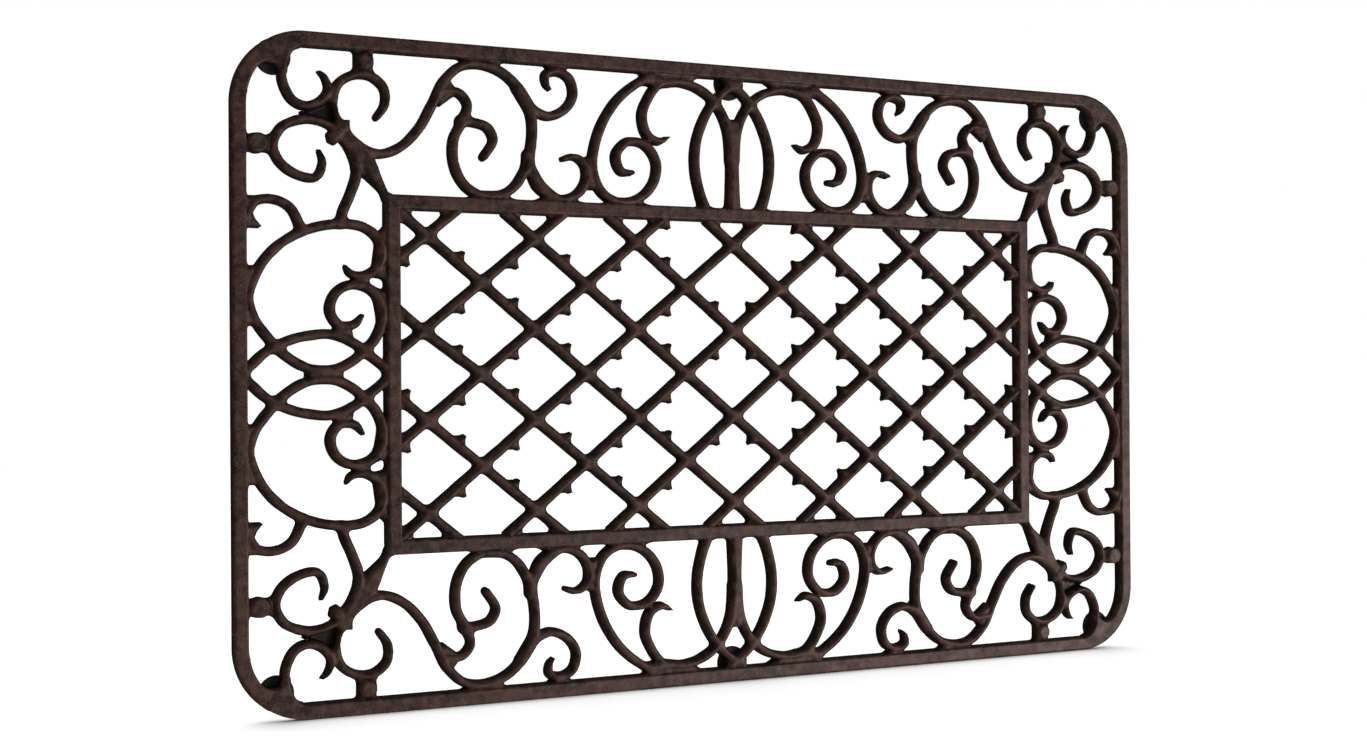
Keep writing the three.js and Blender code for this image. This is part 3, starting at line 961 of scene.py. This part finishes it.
@dataclass(frozen=True)
class FloorFinish:
    """Pale studio sweep, open from behind so that it never hides the mat."""

    pale: float = 0.86
    fade: float = 0.01
    cloud_size: float = 180.0
    roughness: float = 0.9

    def material(self) -> bpy.types.Material:
        """Make the finish.

        Returns:
            The material.
        """
        bench = NodeBench("pale_sweep")
        clouds = bench.noise(self.cloud_size)
        clouds = bench.ranged(clouds, 0.3, 0.7, self.pale - self.fade, self.pale)
        nodes = bench.tree.nodes
        mix = bench.fill(nodes.new("ShaderNodeMixShader"), {
            "Fac": nodes.new("ShaderNodeNewGeometry").outputs["Backfacing"],
            1: bench.shader.outputs["BSDF"],
            2: nodes.new("ShaderNodeBsdfTransparent").outputs["BSDF"],
        })
        bench.fill(nodes["Material Output"], {"Surface": mix.outputs["Shader"]})
        return bench.finished({"Base Color": clouds, "Roughness": self.roughness})


# Scroll bars of one quarter, each as points (u, v, width)
HOOK = Stroke((
    (35.6, 19, 5.5), (34.6, 27, 4.8), (35.4, 34.5, 4.6), (41, 44.6, 4.6), (50, 48.2, 4.9),
    (60, 45.4, 5), (65.8, 37.5, 4.4), (63.4, 28.8, 2.6), (59.2, 25, 0.8),
))
SIDE_C = Stroke((
    (59.3, 77.3, 0.8), (61.9, 85, 3.4), (57.8, 94.8, 4.6), (45.7, 94, 4.8), (33, 86.3, 4.8),
    (28.5, 75, 4.8), (34.3, 63.5, 5), (46.5, 57.6, 5.2), (60, 57, 5.6), (71, 61.5, 6),
))
LONG_C = Stroke((
    (99.7, 53.3, 3.6), (105.4, 44.6, 4.2), (104.8, 33.4, 4.4), (95, 25.7, 4.8),
    (82.5, 26.3, 4.8), (72, 34.2, 5), (68.9, 45.5, 5.2), (70.2, 54, 5.4), (75, 63, 6),
))
COLLAR = Plate(((65.2, 66.3), (66.4, 71), (70.4, 72.8), (79.8, 64), (79.8, 56.2), (74.4, 57.2)))
BRANCH = Stroke((
    (73, 62, 8), (82.4, 77, 6), (85.5, 90, 5.4), (81.2, 105, 5.2), (75.5, 118, 5), (74.3, 124, 5),
))
STRUT = Stroke(((84, 74, 8), (93, 85.5, 10.6), (97.5, 93, 8), (102.4, 99.8, 4.4), (106.6, 107, 3.4)))
S_BAR = Stroke((
    (73, 62, 8), (86, 73, 5.8), (101.5, 77.4), (117, 72), (130, 58.8), (139.6, 42.2),
    (149, 24.8), (162.5, 14), (179.5, 13), (194.5, 19), (206.3, 31.3), (213.2, 46.8),
    (213, 64.5), (208.2, 83.2), (197, 98), (179.5, 103), (163.5, 96.6), (155.2, 82.5),
    (154.9, 65.5), (161.6, 52), (165.2, 41, 4.6), (158.5, 32.9, 4.8), (144.4, 33.2, 5),
))
S_CURL = Stroke(((160, 52), (169.5, 52.4), (179.8, 55.6), (184, 64.3, 4.7), (176.9, 76, 4.4)))
RIM_CURL = Stroke((
    (202.6, 27.8, 4.6), (208.5, 35.3), (214.5, 41.3, 5.4), (226, 44.8), (238, 40.3),
    (245, 29.5, 4.9), (242.4, 18, 4.8), (232.5, 13.1, 5.2), (224.2, 16.3, 4.8),
    (224.4, 23, 3), (227.5, 26.7, 0.8),
))
FRAME_CURL = Stroke((
    (209.5, 73, 4.6), (212.3, 82.5, 6.4), (219.8, 95, 8), (233.5, 102.4, 5.6), (246.5, 99.8),
    (254.6, 89.5), (254.2, 78.5, 4.7), (246.5, 72.5, 4), (237.2, 74.4, 2.2),
))
PEAR = Stroke((
    (307, 12, 5.5), (297, 17.2), (286, 25), (276, 35.4), (267.5, 49), (261.8, 65), (260.5, 82),
    (267.5, 96.6), (282, 103), (298, 99.5), (309.4, 87.3), (311, 72.5), (301.5, 60.7),
    (288.5, 59.7), (279, 69.5), (282.5, 80.6, 4.8), (291.2, 81.6, 3),
))
STEM = Stroke((
    (314, 16.5), (306, 26), (300.2, 40), (303.8, 53.6, 5.2), (313.5, 58, 4.2), (322, 54.2, 0.8),
))
ARCH = Stroke((
    (304, 13.5, 6), (316, 15.6, 5.6), (332, 14.4), (346, 17.8), (358.3, 25.4), (367.8, 38.5),
    (372.4, 54), (374, 68),
))
LOOP = Stroke((
    (380, 11.5), (370.5, 17), (360, 26.6), (350, 42), (344.2, 59, 5.2), (343.5, 77, 5.3),
    (347, 93, 5.4), (352, 107, 7),
))
UPRIGHT = Stroke(((375, 42, 6), (375, 60, 7.4), (375, 82, 8), (375, 107, 10)))
SIDE_HOOK = Stroke((
    (8.5, 127, 5), (11.5, 119), (17.5, 112), (28.5, 110.3, 4.8), (39.8, 115.6, 4.8),
    (47.4, 129.4),
))
SIDE_SWEEP = Stroke((
    (76.8, 152.7, 0.8), (80.6, 157.6, 3.8), (90, 159.4), (99.6, 153.6), (102.6, 144),
    (99.4, 133.4), (88, 126), (72, 125.2), (54, 128.8), (37.5, 136.6), (24.5, 147.7),
    (15.4, 162), (11.7, 176), (15.4, 188.4), (26, 202.6), (38, 213.6), (54, 221.2, 5.4),
    (70, 221.6, 5.6), (82, 216.2), (91, 208.4), (97.4, 201.8), (102.4, 190), (101.8, 177.5),
    (94, 167.8), (81.5, 165.4), (70.4, 171.2), (66.4, 182.5), (72.4, 191.8, 5.2),
    (82.5, 192.2, 4.8), (89, 185.5, 1),
))
UPPER_ARC = Stroke((
    (7.5, 224.5), (15, 217.3), (23, 210.3), (36, 203.6), (52, 199.3), (68, 198.4),
    (82, 203.4), (94, 212), (107, 222),
))
STROKES = (
    HOOK, SIDE_C, LONG_C, BRANCH, STRUT, S_BAR, S_CURL, RIM_CURL, FRAME_CURL, PEAR, STEM,
    ARCH, LOOP, ARCH.mirrored_u(), LOOP.mirrored_u(), UPRIGHT, SIDE_HOOK, SIDE_SWEEP,
    UPPER_ARC, SIDE_SWEEP.mirrored_v(), UPPER_ARC.mirrored_v(),
)

# Webs of one quarter, each as corners (u, v)
WEBS = tuple(Plate(corners) for corners in (
    ((82, 73), (93, 77), (97, 82), (106, 104.5), (104.9, 104.6), (91.8, 93.9), (86, 91), (83, 88)),
    ((141.5, 38.5), (150.5, 23.5), (158, 33), (145, 42.8)),
    ((160, 8), (191, 8), (188, 14), (163, 14)),
    ((167, 106), (171, 99.5), (193, 99), (198, 106)),
    ((205, 29.5), (212, 35.5), (220, 42), (217, 47.6), (212, 50), (209, 40)),
    ((224.5, 8), (241.5, 8), (238, 14), (227, 14)),
    ((208, 80), (212.5, 79), (214.5, 87.5), (209, 87)),
    ((217.5, 106), (224, 99.5), (229, 100.5), (245, 100.5), (249, 106)),
    ((252, 74), (259, 71), (261, 84), (262, 94.5), (254.5, 94.5), (254, 86)),
    ((299, 8), (346.5, 8), (340, 14.5), (325, 14), (312, 19), (303, 17)),
    ((271, 106), (275, 100), (298, 100), (303, 106)),
    ((368, 8), (382, 8), (380, 17), (370, 17)),
    (
        (8, 109.5), (14, 108.8), (20, 109.2), (14.4, 115.5), (14, 119.5), (16, 124),
        (20.4, 129), (8, 128.8),
    ),
    ((8, 154.3), (17.5, 154.3), (14, 162), (13, 176), (13, 186), (16, 192.4), (8, 192.6)),
    ((100, 130), (106, 127), (106, 161), (96, 159.3)),
    ((50, 222), (75, 222), (75, 228), (50, 228)),
    ((83, 157.5), (93, 157.5), (94, 167.5), (81, 166.5)),
    ((71, 190), (80.5, 192), (82, 200), (68, 199)),
    ((96, 166), (106, 169.5), (106, 194), (100.5, 190)),
))

# The sunk web beside the collar
HOLLOW = Plate((
    (45.5, 53.4), (54, 50.4), (61, 47.6), (66, 43.5), (69, 48), (71, 56.5), (69, 59.3), (62, 56.6),
    (53, 54.8),
))

# Where one ornament ends and the next begins
R, FU, FV = RIM_WIDTH, FRAME_U, FRAME_V
ORNAMENTS: dict[str, list[Box]] = {
    "corner_ornament": [
        (26, HOOK_START, 56, 104), (R, CORNER_END_V, 26, 104), (56, HOOK_START, 96, 121),
        (50, R, 96, HOOK_START), (96, R, 112, 60), (96, 81, 109, FV), (96, FV, FU, 110),
    ],
    "s_scroll": [(96, 60, 112, 81), (112, R, 216, 78), (216, 48.5, 218, 66), (112, 78, 212.8, FV)],
    "rim_curl": [(216, R, 252, 48.5)],
    "frame_curl": [(212.8, 78, 256.8, FV), (218, 62, 256.8, 78)],
    "pear_scroll": [(256.8, R, 336, FV), (336, R, 346, 30)],
    "side_hook": [(R, 104, 30, 132), (30, 104, 52, 126)],
    "side_scroll": [(52, 121, FU, 161.3), (30, 126, 52, 161.3), (R, 132, 30, 195.2)],
    "side_spiral": [(60, 161.3, FU, 195.2)],
}
LONG_MIDDLE: list[Box] = [(346, R, MIDDLE_U, 30), (336, 30, MIDDLE_U, FV)]
SHORT_MIDDLE: list[Box] = [(R, 195.2, FU, MIDDLE_V)]
CORNER: list[Box] = [(0, 0, CORNER_END_U, HOOK_START), (0, HOOK_START, 26, CORNER_END_V)]


@dataclass
class Lattice:
    """Two families of slanting ridged bars, with thorns."""

    steps_along: float = 6.515
    steps_across: float = 3.544
    bar: float = 5.2
    setback: float = 0.325
    rise: float = 0.654
    fillet: float = 5.0
    frame_fillet: float = 2.2
    small_fillet: float = 8.5
    draft: float = 1.1
    ridge: Crown = Crown(shoulder=6.3, crest=8.3, power=2.5)
    thorn: Crown = Crown(shoulder=5.0, crest=6.7, reach=2.2, power=1.4)
    edge_waver: Waver = Waver(seed=5, size=16.0, depth=0.12)
    face_waver: Waver = Waver(seed=6, size=9.0, depth=0.07)
    drafted_from: float = 1.5
    strayed_bar: float = 5.0
    stray: float = 0.12
    stray_length: float = 1.1
    strayed_column: int = -6
    strayed_thorn: Point = (-1.6, 1.4)
    middle_rows: tuple[int, ...] = (2, 3, 5)
    end_rows: tuple[int, ...] = (1, 4, 5)
    grid: float = 0.82

    @property
    def step_u(self) -> float:
        """Distance between crossings along the mat."""
        return (MIDDLE_U - FRAME_U - FRAME_BAR) / self.steps_along

    @property
    def step_v(self) -> float:
        """Distance between crossings across the mat."""
        return (MIDDLE_V - FRAME_V - FRAME_BAR) / self.steps_across

    def steps(self, us: Array, vs: Array) -> tuple[Array, Array]:
        """Grid lines in steps from the middle of the mat, along it and across it."""
        return (us[:, None] - MIDDLE_U) / self.step_u, (MIDDLE_V - vs[None, :]) / self.step_v

    def bars(self, us: Array, vs: Array) -> Array:
        """Distance to the edge of the bars.

        Args:
            us: Grid lines along u.
            vs: Grid lines along v.

        Returns:
            Distances on the grid, negative inside a bar.
        """
        along, across = self.steps(us, vs)
        scale = self.step_u * self.step_v / math.hypot(self.step_u, self.step_v)
        found = []
        drift = self.stray * np.clip(np.abs(along) - self.strayed_bar, 0.0, self.stray_length)
        for lean in (1.0, -1.0):
            place = along - lean * across
            nearest = 2.0 * np.round((place - 1.0) / 2.0) + 1.0
            nearest = nearest + np.where(nearest == lean * self.strayed_bar, lean * drift, 0.0)
            found.append(scale * np.abs(place - nearest) - self.bar / 2.0)
        return smooth_union(found[0], found[1], self.fillet)

    def fillets(self, us: Array, vs: Array) -> Array:
        """Size of the fillet between a bar and the frame, large in the small openings.

        Args:
            us: Grid lines along u.
            vs: Grid lines along v.

        Returns:
            The size at each grid point.
        """
        along, across = self.steps(us, vs)
        rising = 2.0 * np.round((along - across) / 2.0)
        falling = 2.0 * np.round((along + across) / 2.0)
        beyond_end = np.abs(rising + falling) / 2.0 > self.steps_along
        beyond_side = np.abs(falling - rising) / 2.0 > self.steps_across
        return np.where(beyond_end | beyond_side, self.small_fillet, self.frame_fillet)

    def has_thorn(self, column: int, row: int) -> bool:
        """Whether a bar between two crossings carries a thorn.

        Args:
            column: Column from the middle, negative to the left.
            row: Row from the far side.

        Returns:
            True where there is a thorn.
        """
        if row == 0:
            return column == -2
        if column == -1:
            return row in self.middle_rows
        if column < -int(self.steps_along):
            return row in self.end_rows
        return True

    def thorns(self) -> list[Plate]:
        """Place the thorns of the left half.

        Returns:
            Their outlines.
        """
        last_row, last_column = int(self.steps_across), int(self.steps_along)
        found = []
        for column in range(-last_column - 1, 0):
            for row in range(2 * last_row + 1):
                upper = last_row - row + 1
                falling = (column + upper) % 2 == 1
                if not self.has_thorn(column, row) or (row == 0 and falling):
                    continue
                side = -1.0 if falling else 1.0
                u = MIDDLE_U + self.step_u * (column + 1)
                v = MIDDLE_V - self.step_v * (upper - 1 if falling else upper)
                strayed = column == self.strayed_column and column + upper == -self.strayed_bar
                if falling and strayed:
                    u, v = u + self.strayed_thorn[0], v + self.strayed_thorn[1]
                found.append(self.claw(u, v, side))
        return found

    def claw(self, u: float, v: float, side: float) -> Plate:
        """One thorn with hollow sides.

        Args:
            u: Place of the crossing at the right end of its bar.
            v: The same across the mat.
            side: +1 below a rising bar, -1 above a falling one.

        Returns:
            The outline.
        """
        tip_u, tip_v = self.setback * self.step_u, self.rise * self.step_v
        back_u, foot_v = self.rise * self.step_u, self.setback * self.step_v
        corners = (
            (tip_u - 0.5, tip_v + 0.6), (tip_u + 3.2, tip_v - 0.5), (tip_u + 7.0, tip_v - 0.5),
            (back_u + 1.5, tip_v + 0.9), (tip_u + 3.0, foot_v), (tip_u - 1.2, foot_v - 1.2),
            (tip_u + 0.5, foot_v + 3.4), (tip_u + 0.5, tip_v - 3.2),
        )
        return Plate(tuple((u - a, v + side * b) for a, b in corners))

    def build(self, finish: bpy.types.Material) -> None:
        """Make the lattice and dress it.

        Args:
            finish: The iron finish.
        """
        end_u, end_v = 2 * MIDDLE_U - INNER_U, 2 * MIDDLE_V - INNER_V
        us, fixed_u = ruled([INNER_U, end_u], [MIDDLE_U], self.grid)
        vs, fixed_v = ruled([INNER_V, end_v], [MIDDLE_V], self.grid)
        bars = self.bars(us, vs) + self.edge_waver.at(us, vs)
        wedges = closest(self.thorns(), us[us <= MIDDLE_U + TINY], vs)
        wedges = np.concatenate([wedges, wedges[-2::-1]])
        inset_u = np.minimum(us - INNER_U, end_u - us)[:, None]
        inset_v = np.minimum(vs - INNER_V, end_v - vs)[None, :]
        edge = np.minimum(inset_u, inset_v)
        level = smooth_union(smooth_union(bars, wedges, WELD), edge, self.fillets(us, vs))
        height = np.maximum(self.ridge.height(bars), self.thorn.height(level))
        height = height + self.face_waver.at(us, vs)
        lean = outward(level, us, vs, np.where(edge > self.drafted_from, self.draft, 0.0))
        sheet = Sheet(us, vs, fixed_u, fixed_v, level, height, lean).settled(Role.LEAVES_EDGE)
        cells = np.ones((len(us) - 1, len(vs) - 1), bool)
        piece = sheet.shell(cells).put("cast_lattice", False, False)
        Workshop.dress(piece, "lattice", "cast_iron", finish)


@dataclass
class Border:
    """The rim, the inner frame and the scrollwork between them."""

    fillet: float = 3.8
    fillet_slack: float = 0.2
    corner_fillet: float = 2.0
    boss_fillet: float = 1.0
    draft: float = 0.8
    drafted_from: float = 1.5
    edge_waver: Waver = Waver(seed=3, size=15.0, depth=0.14)
    face_waver: Waver = Waver(seed=4, size=8.0, depth=0.05)
    face_drop: float = 0.03
    rim: FlatFace = FlatFace(top=8.95, edge=1.2)
    bead: Crown = Crown(shoulder=6.5, crest=8.5, power=2.6, plunge=2.0)
    webbing: Crown = Crown(shoulder=5.2, crest=7.3)
    clasp: Crown = Crown(shoulder=6.6, crest=9.0, reach=3.7, power=2.2)
    boss: FlatFace = FlatFace(top=9.1, edge=0.7)
    bosses: tuple[Disc, ...] = (Disc(17.2, 74.4, 6.2), Disc(90.6, 16.6, 5.0))
    stubs: tuple[Stub, ...] = (Stub(8.0, 69.2, 28.0, 79.6), Stub(84.7, 8.0, 96.5, 25.0))
    stub_top: float = 6.2
    hollow_floor: float = 1.2
    bank: float = 3.0
    bend_steps: int = 12
    edge_lines: tuple[float, ...] = (0.3, 0.9, 1.6)
    grid: float = 0.92
    lattice: Lattice = field(default_factory=Lattice)

    def corner_web(self) -> Plate:
        """The web in the corner of the rim.

        Returns:
            Its outline.
        """
        t = np.linspace(0.0, 1.0, self.bend_steps)[:, None]

        def bend(*knots: Point) -> list[Point]:
            """A smooth curve.

            Args:
                knots: Its start, the two points that pull it, and its end.

            Returns:
                Points along it.
            """
            a, b, c, d = (np.array(knot) for knot in knots)
            curve = a * (1 - t) ** 3 + 3 * b * t * (1 - t) ** 2 + 3 * c * t**2 * (1 - t) + d * t**3
            return [tuple(p) for p in curve.tolist()]

        return Plate((
            (CORNER_END_U, 4.0),
            *bend((CORNER_END_U, R), (41, 11.5), (36.8, 17), (36.4, 27)),
            *bend((32, 24), (26, 19.3), (11, 19), (R, 43)),
            (4.0, 43.0), (4.0, 30.0), (14.0, 14.0), (30.0, 4.0),
        ))

    def lines(self) -> list[tuple[Array, Array]]:
        """Grid lines of one quarter, closer together beside the flat faces.

        Returns:
            The lines along u with their meeting flags, and the same along v.
        """
        boxes = [box for group in ORNAMENTS.values() for box in group]
        boxes += LONG_MIDDLE + SHORT_MIDDLE + CORNER
        found = []
        for k, (outer, inner, middle) in enumerate(
            ((FRAME_U, INNER_U, MIDDLE_U), (FRAME_V, INNER_V, MIDDLE_V))
        ):
            marks = [0.0, inner, middle, *(box[k] for box in boxes), *(box[k + 2] for box in boxes)]
            extra = [line for n in self.edge_lines for line in (n, R - n, outer + n, inner - n)]
            found.append(ruled(marks, extra, self.grid))
        return found

    def sheet(self) -> Sheet:
        """Draw one quarter.

        Returns:
            Its outline and heights, with the grid points in their first places.
        """
        (us, fixed_u), (vs, fixed_v) = self.lines()
        bars = np.full((len(us), len(vs)), FAR)
        for stroke in STROKES:
            bars = smooth_union(bars, stroke.distance(us, vs), self.fillet)
        collar = COLLAR.distance(us, vs)
        bars = smooth_union(bars, collar, WELD) + self.edge_waver.at(us, vs)
        hollow = HOLLOW.distance(us, vs)
        webs = np.minimum(closest(WEBS, us, vs), hollow)
        stubs = closest(self.stubs, us, vs)
        discs = closest(self.bosses, us, vs)
        edge = corner_edge(us, vs, (CORNER_RADIUS, CORNER_RADIUS), CORNER_RADIUS)
        ring = np.abs(edge + RIM_WIDTH / 2.0) - RIM_WIDTH / 2.0
        corner = np.maximum(self.corner_web().distance(us, vs), edge + RIM_WIDTH / 2.0)
        rim = np.where(ring <= 0.0, ring, smooth_union(ring, corner, self.corner_fillet))
        outer = corner_edge(us, vs, (FRAME_U, FRAME_V))
        frame = np.abs(outer + FRAME_BAR / 2.0) - FRAME_BAR / 2.0
        slats = np.where(outer < -FRAME_BAR / 2.0, self.lattice.bars(us, vs), FAR)

        level = smooth_union(bars, webs, WELD)
        level = smooth_union(level, smooth_union(stubs, discs, self.boss_fillet), self.fillet)
        level = smooth_union(level, np.minimum(rim, frame), self.fillet)
        on_side = (np.abs(ring) < TINY) | (np.abs(frame) < TINY)
        reach = np.minimum(np.minimum(bars, webs), np.minimum(stubs, discs))
        level = np.where(on_side & (reach > self.fillet - self.fillet_slack), 0.0, level)
        level = np.where((ring < -TINY) | (frame < -TINY), np.minimum(ring, frame), level)

        hollow_cap = self.hollow_floor + self.bank * np.maximum(hollow, 0.0)
        stub_cap = self.stub_top + self.bank * np.maximum(stubs, 0.0)
        cap = np.minimum(self.webbing.crest, np.minimum(hollow_cap, stub_cap))
        solid = np.minimum(np.where(ring <= 0.0, np.minimum(ring, corner), rim), frame)
        height = np.maximum.reduce([
            self.bead.height(np.maximum(bars, -hollow)),
            np.minimum(self.webbing.height(level), cap),
            self.boss.height(discs),
            self.clasp.height(collar),
            self.lattice.ridge.height(slats),
            self.rim.height(solid),
        ])
        height = height + self.face_waver.at(us, vs) - self.face_drop
        lean = outward(level, us, vs, np.where(edge < -self.drafted_from, self.draft, 0.0))
        return Sheet(us, vs, fixed_u, fixed_v, level, height, lean)

    def build(self, finish: bpy.types.Material) -> None:
        """Make every piece of the border and dress it.

        Args:
            finish: The iron finish.
        """
        drawn = self.sheet()
        steady = drawn.settled(Role.KEEPS_EDGE)
        loose = drawn.settled(Role.LEAVES_EDGE)
        corner = steady.shell(steady.cells(CORNER))
        for quarter in Quarter:
            self._put(corner, f"rim_corner_{quarter.place}", *quarter.value, finish)
        for name, boxes in ORNAMENTS.items():
            shell = loose.shell(loose.cells(boxes))
            for quarter in Quarter:
                self._put(shell, f"{name}_{quarter.place}", *quarter.value, finish)
        folded = (
            (Fold.LENGTH, "rim", steady, [(CORNER_END_U, 0.0, MIDDLE_U, R)]),
            (Fold.LENGTH, "frame", steady, [(INNER_U, FRAME_V, MIDDLE_U, INNER_V)]),
            (Fold.LENGTH, "crossing_loops", loose, LONG_MIDDLE),
            (Fold.WIDTH, "rim", steady, [(0.0, CORNER_END_V, R, MIDDLE_V)]),
            (Fold.WIDTH, "frame", steady, [(FRAME_U, FRAME_V, INNER_U, MIDDLE_V)]),
            (Fold.WIDTH, "crossing_arcs", loose, SHORT_MIDDLE),
        )
        for fold, name, sheet, boxes in folded:
            wide, cells = sheet.unfolded(fold, sheet.cells(boxes))
            shell = wide.shell(cells)
            for side, flips in fold.sides.items():
                self._put(shell, f"{name}_{side}", *flips, finish)

    @staticmethod
    def _put(
        shell: Shell, node: str, flip_u: bool, flip_v: bool, finish: bpy.types.Material
    ) -> None:
        """Make one piece and dress it.

        Args:
            shell: Its shape.
            node: The node that it replaces.
            flip_u: Put it at the right end.
            flip_v: Put it on the front side.
            finish: The iron finish.
        """
        piece = shell.put(f"cast_{node}", flip_u, flip_v)
        Workshop.dress(piece, node, "cast_iron", finish)


@dataclass
class Feet:
    """Round rubber feet glued under the casting."""

    places: tuple[str, ...] = (*(quarter.place for quarter in Quarter), "back_middle", "front_middle")
    sides: int = 64
    profile: tuple[Point, ...] = (
        (0.0, 0.5), (3.0, 0.5), (3.5, 0.25), (4.1, 0.0), (7.6, 0.0), (8.0, 0.35), (8.7, 0.35),
        (9.1, 0.0), (10.9, 0.0), (11.5, 0.2), (11.85, 0.6), (12.0, 1.2), (11.9, 3.4),
        (11.7, FOOT_HEIGHT), (0.0, FOOT_HEIGHT),
    )

    def build(self, finish: bpy.types.Material) -> None:
        """Make the feet and dress them.

        Args:
            finish: The rubber finish.
        """
        turns = np.linspace(0.0, 2.0 * math.pi, self.sides, endpoint=False)
        bottom, *outline, crown = self.profile
        rings = [[(r * math.cos(a), r * math.sin(a), z) for a in turns] for r, z in outline]
        verts = np.array([(0.0, *bottom), *sum(rings, []), (0.0, *crown)])
        last = len(verts) - 1
        top = last - self.sides
        faces: list[tuple[int, ...]] = []
        for k in range(self.sides):
            n = (k + 1) % self.sides
            faces.append((0, 1 + n, 1 + k))
            for ring in range(len(rings) - 1):
                a = 1 + ring * self.sides
                b = a + self.sides
                faces.append((a + k, a + n, b + n, b + k))
            faces.append((top + k, top + n, last))
        for place in self.places:
            node = f"rubber_foot_{place}"
            low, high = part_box(node)
            middle = np.array([(low[0] + high[0]) / 2, (low[1] + high[1]) / 2, low[2]])
            piece = Workshop.make_object(f"moulded_{node}", verts * MM + middle, faces)
            Workshop.dress(piece, node, "rubber", finish)


@dataclass(frozen=True)
class Lamp:
    """A soft rectangular light that looks at the mat, in metres and watts."""

    name: str
    place: Point
    width: float
    height: float
    power: float
    gloss_only: bool = False

    def build(self, mat: bpy.types.Collection) -> None:
        """Make the light.

        Args:
            mat: The pieces that it shines on.
        """
        data = bpy.data.lights.new(self.name, "AREA")
        data.shape = "RECTANGLE"
        data.size = self.width
        data.size_y = self.height
        data.energy = self.power
        lamp = bpy.data.objects.new(self.name, data)
        lamp.location = self.place
        lamp.rotation_euler = Vector(self.place).to_track_quat("Z", "Y").to_euler()
        lamp.visible_diffuse = not self.gloss_only
        bpy.context.scene.collection.objects.link(lamp)
        lamp.light_linking.receiver_collection = mat


@dataclass
class Studio:
    """Pale sweep, soft lights and the camera. The mat stands on its front edge."""

    lamps: tuple[Lamp, ...] = (
        Lamp("key", (1.4, -0.6, 1.9), 1.0, 1.0, 17.0),
        Lamp("bounce", (0.3, -1.6, 0.9), 2.0, 0.8, 9.0),
        Lamp("right_gloss", (2.3, -0.3, 1.9), 1.0, 1.4, 36.0, gloss_only=True),
    )
    floor_gap: float = 0.0004
    floor_reach: float = 4.0
    sensor: float = 36.0
    nearest: float = 0.01
    lens: float = 52.715
    camera_place: Point = (-0.74609, -0.00664, 1.27447)
    camera_turn: Point = (0.4212, -29.052, -0.4231)
    ambient: float = 0.46
    shine: float = 0.06
    sky_strength: float = 3.6
    sky_spread: float = 110.0
    sky_tilt: float = 33.0
    shading: tuple[str, ...] = ("cast_rim_front", "cast_rim_corner_front", "moulded_rubber_foot_front")

    def build(self) -> None:
        """Make the sweep, the lights, the surroundings and the camera."""
        mat = bpy.data.collections.new("the_mat")
        for obj in bpy.context.scene.objects:
            if obj.name.startswith(("cast_", "moulded_")):
                mat.objects.link(obj)
        sweep = self._floor()
        self._surroundings()
        for lamp in self.lamps:
            lamp.build(mat)
        self._skylight(sweep)
        self._camera()

    def _camera(self) -> None:
        """Set up the camera at the viewing angle of the photo."""
        data = bpy.data.cameras.new("camera")
        data.lens = self.lens
        data.sensor_width = self.sensor
        data.clip_start = self.nearest
        camera = bpy.data.objects.new("camera", data)
        camera.location = self.camera_place
        camera.rotation_euler = tuple(math.radians(turn) for turn in self.camera_turn)
        bpy.context.scene.collection.objects.link(camera)
        bpy.context.scene.camera = camera
        bpy.context.scene.view_settings.view_transform = "Standard"

    def _floor(self) -> bpy.types.Object:
        """Make the sweep that the front edge of the mat stands on.

        Returns:
            The sweep.
        """
        y, far = -MIDDLE_V * MM - self.floor_gap, self.floor_reach
        verts = np.array([(-far, y, -far), (-far, y, far), (far, y, far), (far, y, -far)])
        floor = Workshop.make_object("sweep", verts, [(0, 1, 2, 3)])
        floor.data.materials.append(FloorFinish().material())
        floor.visible_glossy = False
        floor.visible_diffuse = False
        floor.visible_shadow = False
        return floor

    def _skylight(self, sweep: bpy.types.Object) -> None:
        """Light only the sweep, from above and behind, so that the front rim shades its foot.

        Args:
            sweep: The sweep.
        """
        data = bpy.data.lights.new("skylight", "SUN")
        data.energy = self.sky_strength
        data.angle = math.radians(self.sky_spread)
        sky = bpy.data.objects.new("skylight", data)
        sky.rotation_euler = (-math.pi / 2.0 - math.radians(self.sky_tilt), 0.0, 0.0)
        bpy.context.scene.collection.objects.link(sky)
        lit = bpy.data.collections.new("lit_by_skylight")
        lit.objects.link(sweep)
        sky.light_linking.receiver_collection = lit
        shading = bpy.data.collections.new("shading_the_sweep")
        for obj in bpy.context.scene.objects:
            if obj.name.startswith(self.shading):
                shading.objects.link(obj)
        sky.light_linking.blocker_collection = shading

    def _surroundings(self) -> None:
        """White behind the mat, and a dimmer soft light all round."""
        world = bpy.data.worlds.new("white_room")
        bpy.context.scene.world = world
        world.use_nodes = True
        tree = world.node_tree
        background = tree.nodes["Background"]
        rays = tree.nodes.new("ShaderNodeLightPath")
        kinds = (("Is Camera Ray", 1.0), ("Is Glossy Ray", self.shine), ("Is Diffuse Ray", self.ambient))
        total = None
        for name, strength in kinds:
            part = tree.nodes.new("ShaderNodeMath")
            part.operation = "MULTIPLY_ADD"
            tree.links.new(rays.outputs[name], part.inputs[0])
            part.inputs[1].default_value = strength
            part.inputs[2].default_value = 0.0
            if total is not None:
                tree.links.new(total, part.inputs[2])
            total = part.outputs["Value"]
        tree.links.new(total, background.inputs["Strength"])
        background.inputs["Color"].default_value = (1.0, 1.0, 1.0, 1.0)


def corners(bounds: object) -> list[list[float]]:
    """The corners of a box as plain lists."""
    return [[float(number) for number in corner] for corner in bounds]


def main() -> None:
    """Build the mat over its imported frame."""
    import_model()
    iron = IronFinish().material()
    Border().build(iron)
    Lattice().build(iron)
    Feet().build(RubberFinish().material())
    Studio().build()


if __name__ == "__main__":
    logging.basicConfig(level=logging.INFO, format="%(name)s: %(message)s")
    main()
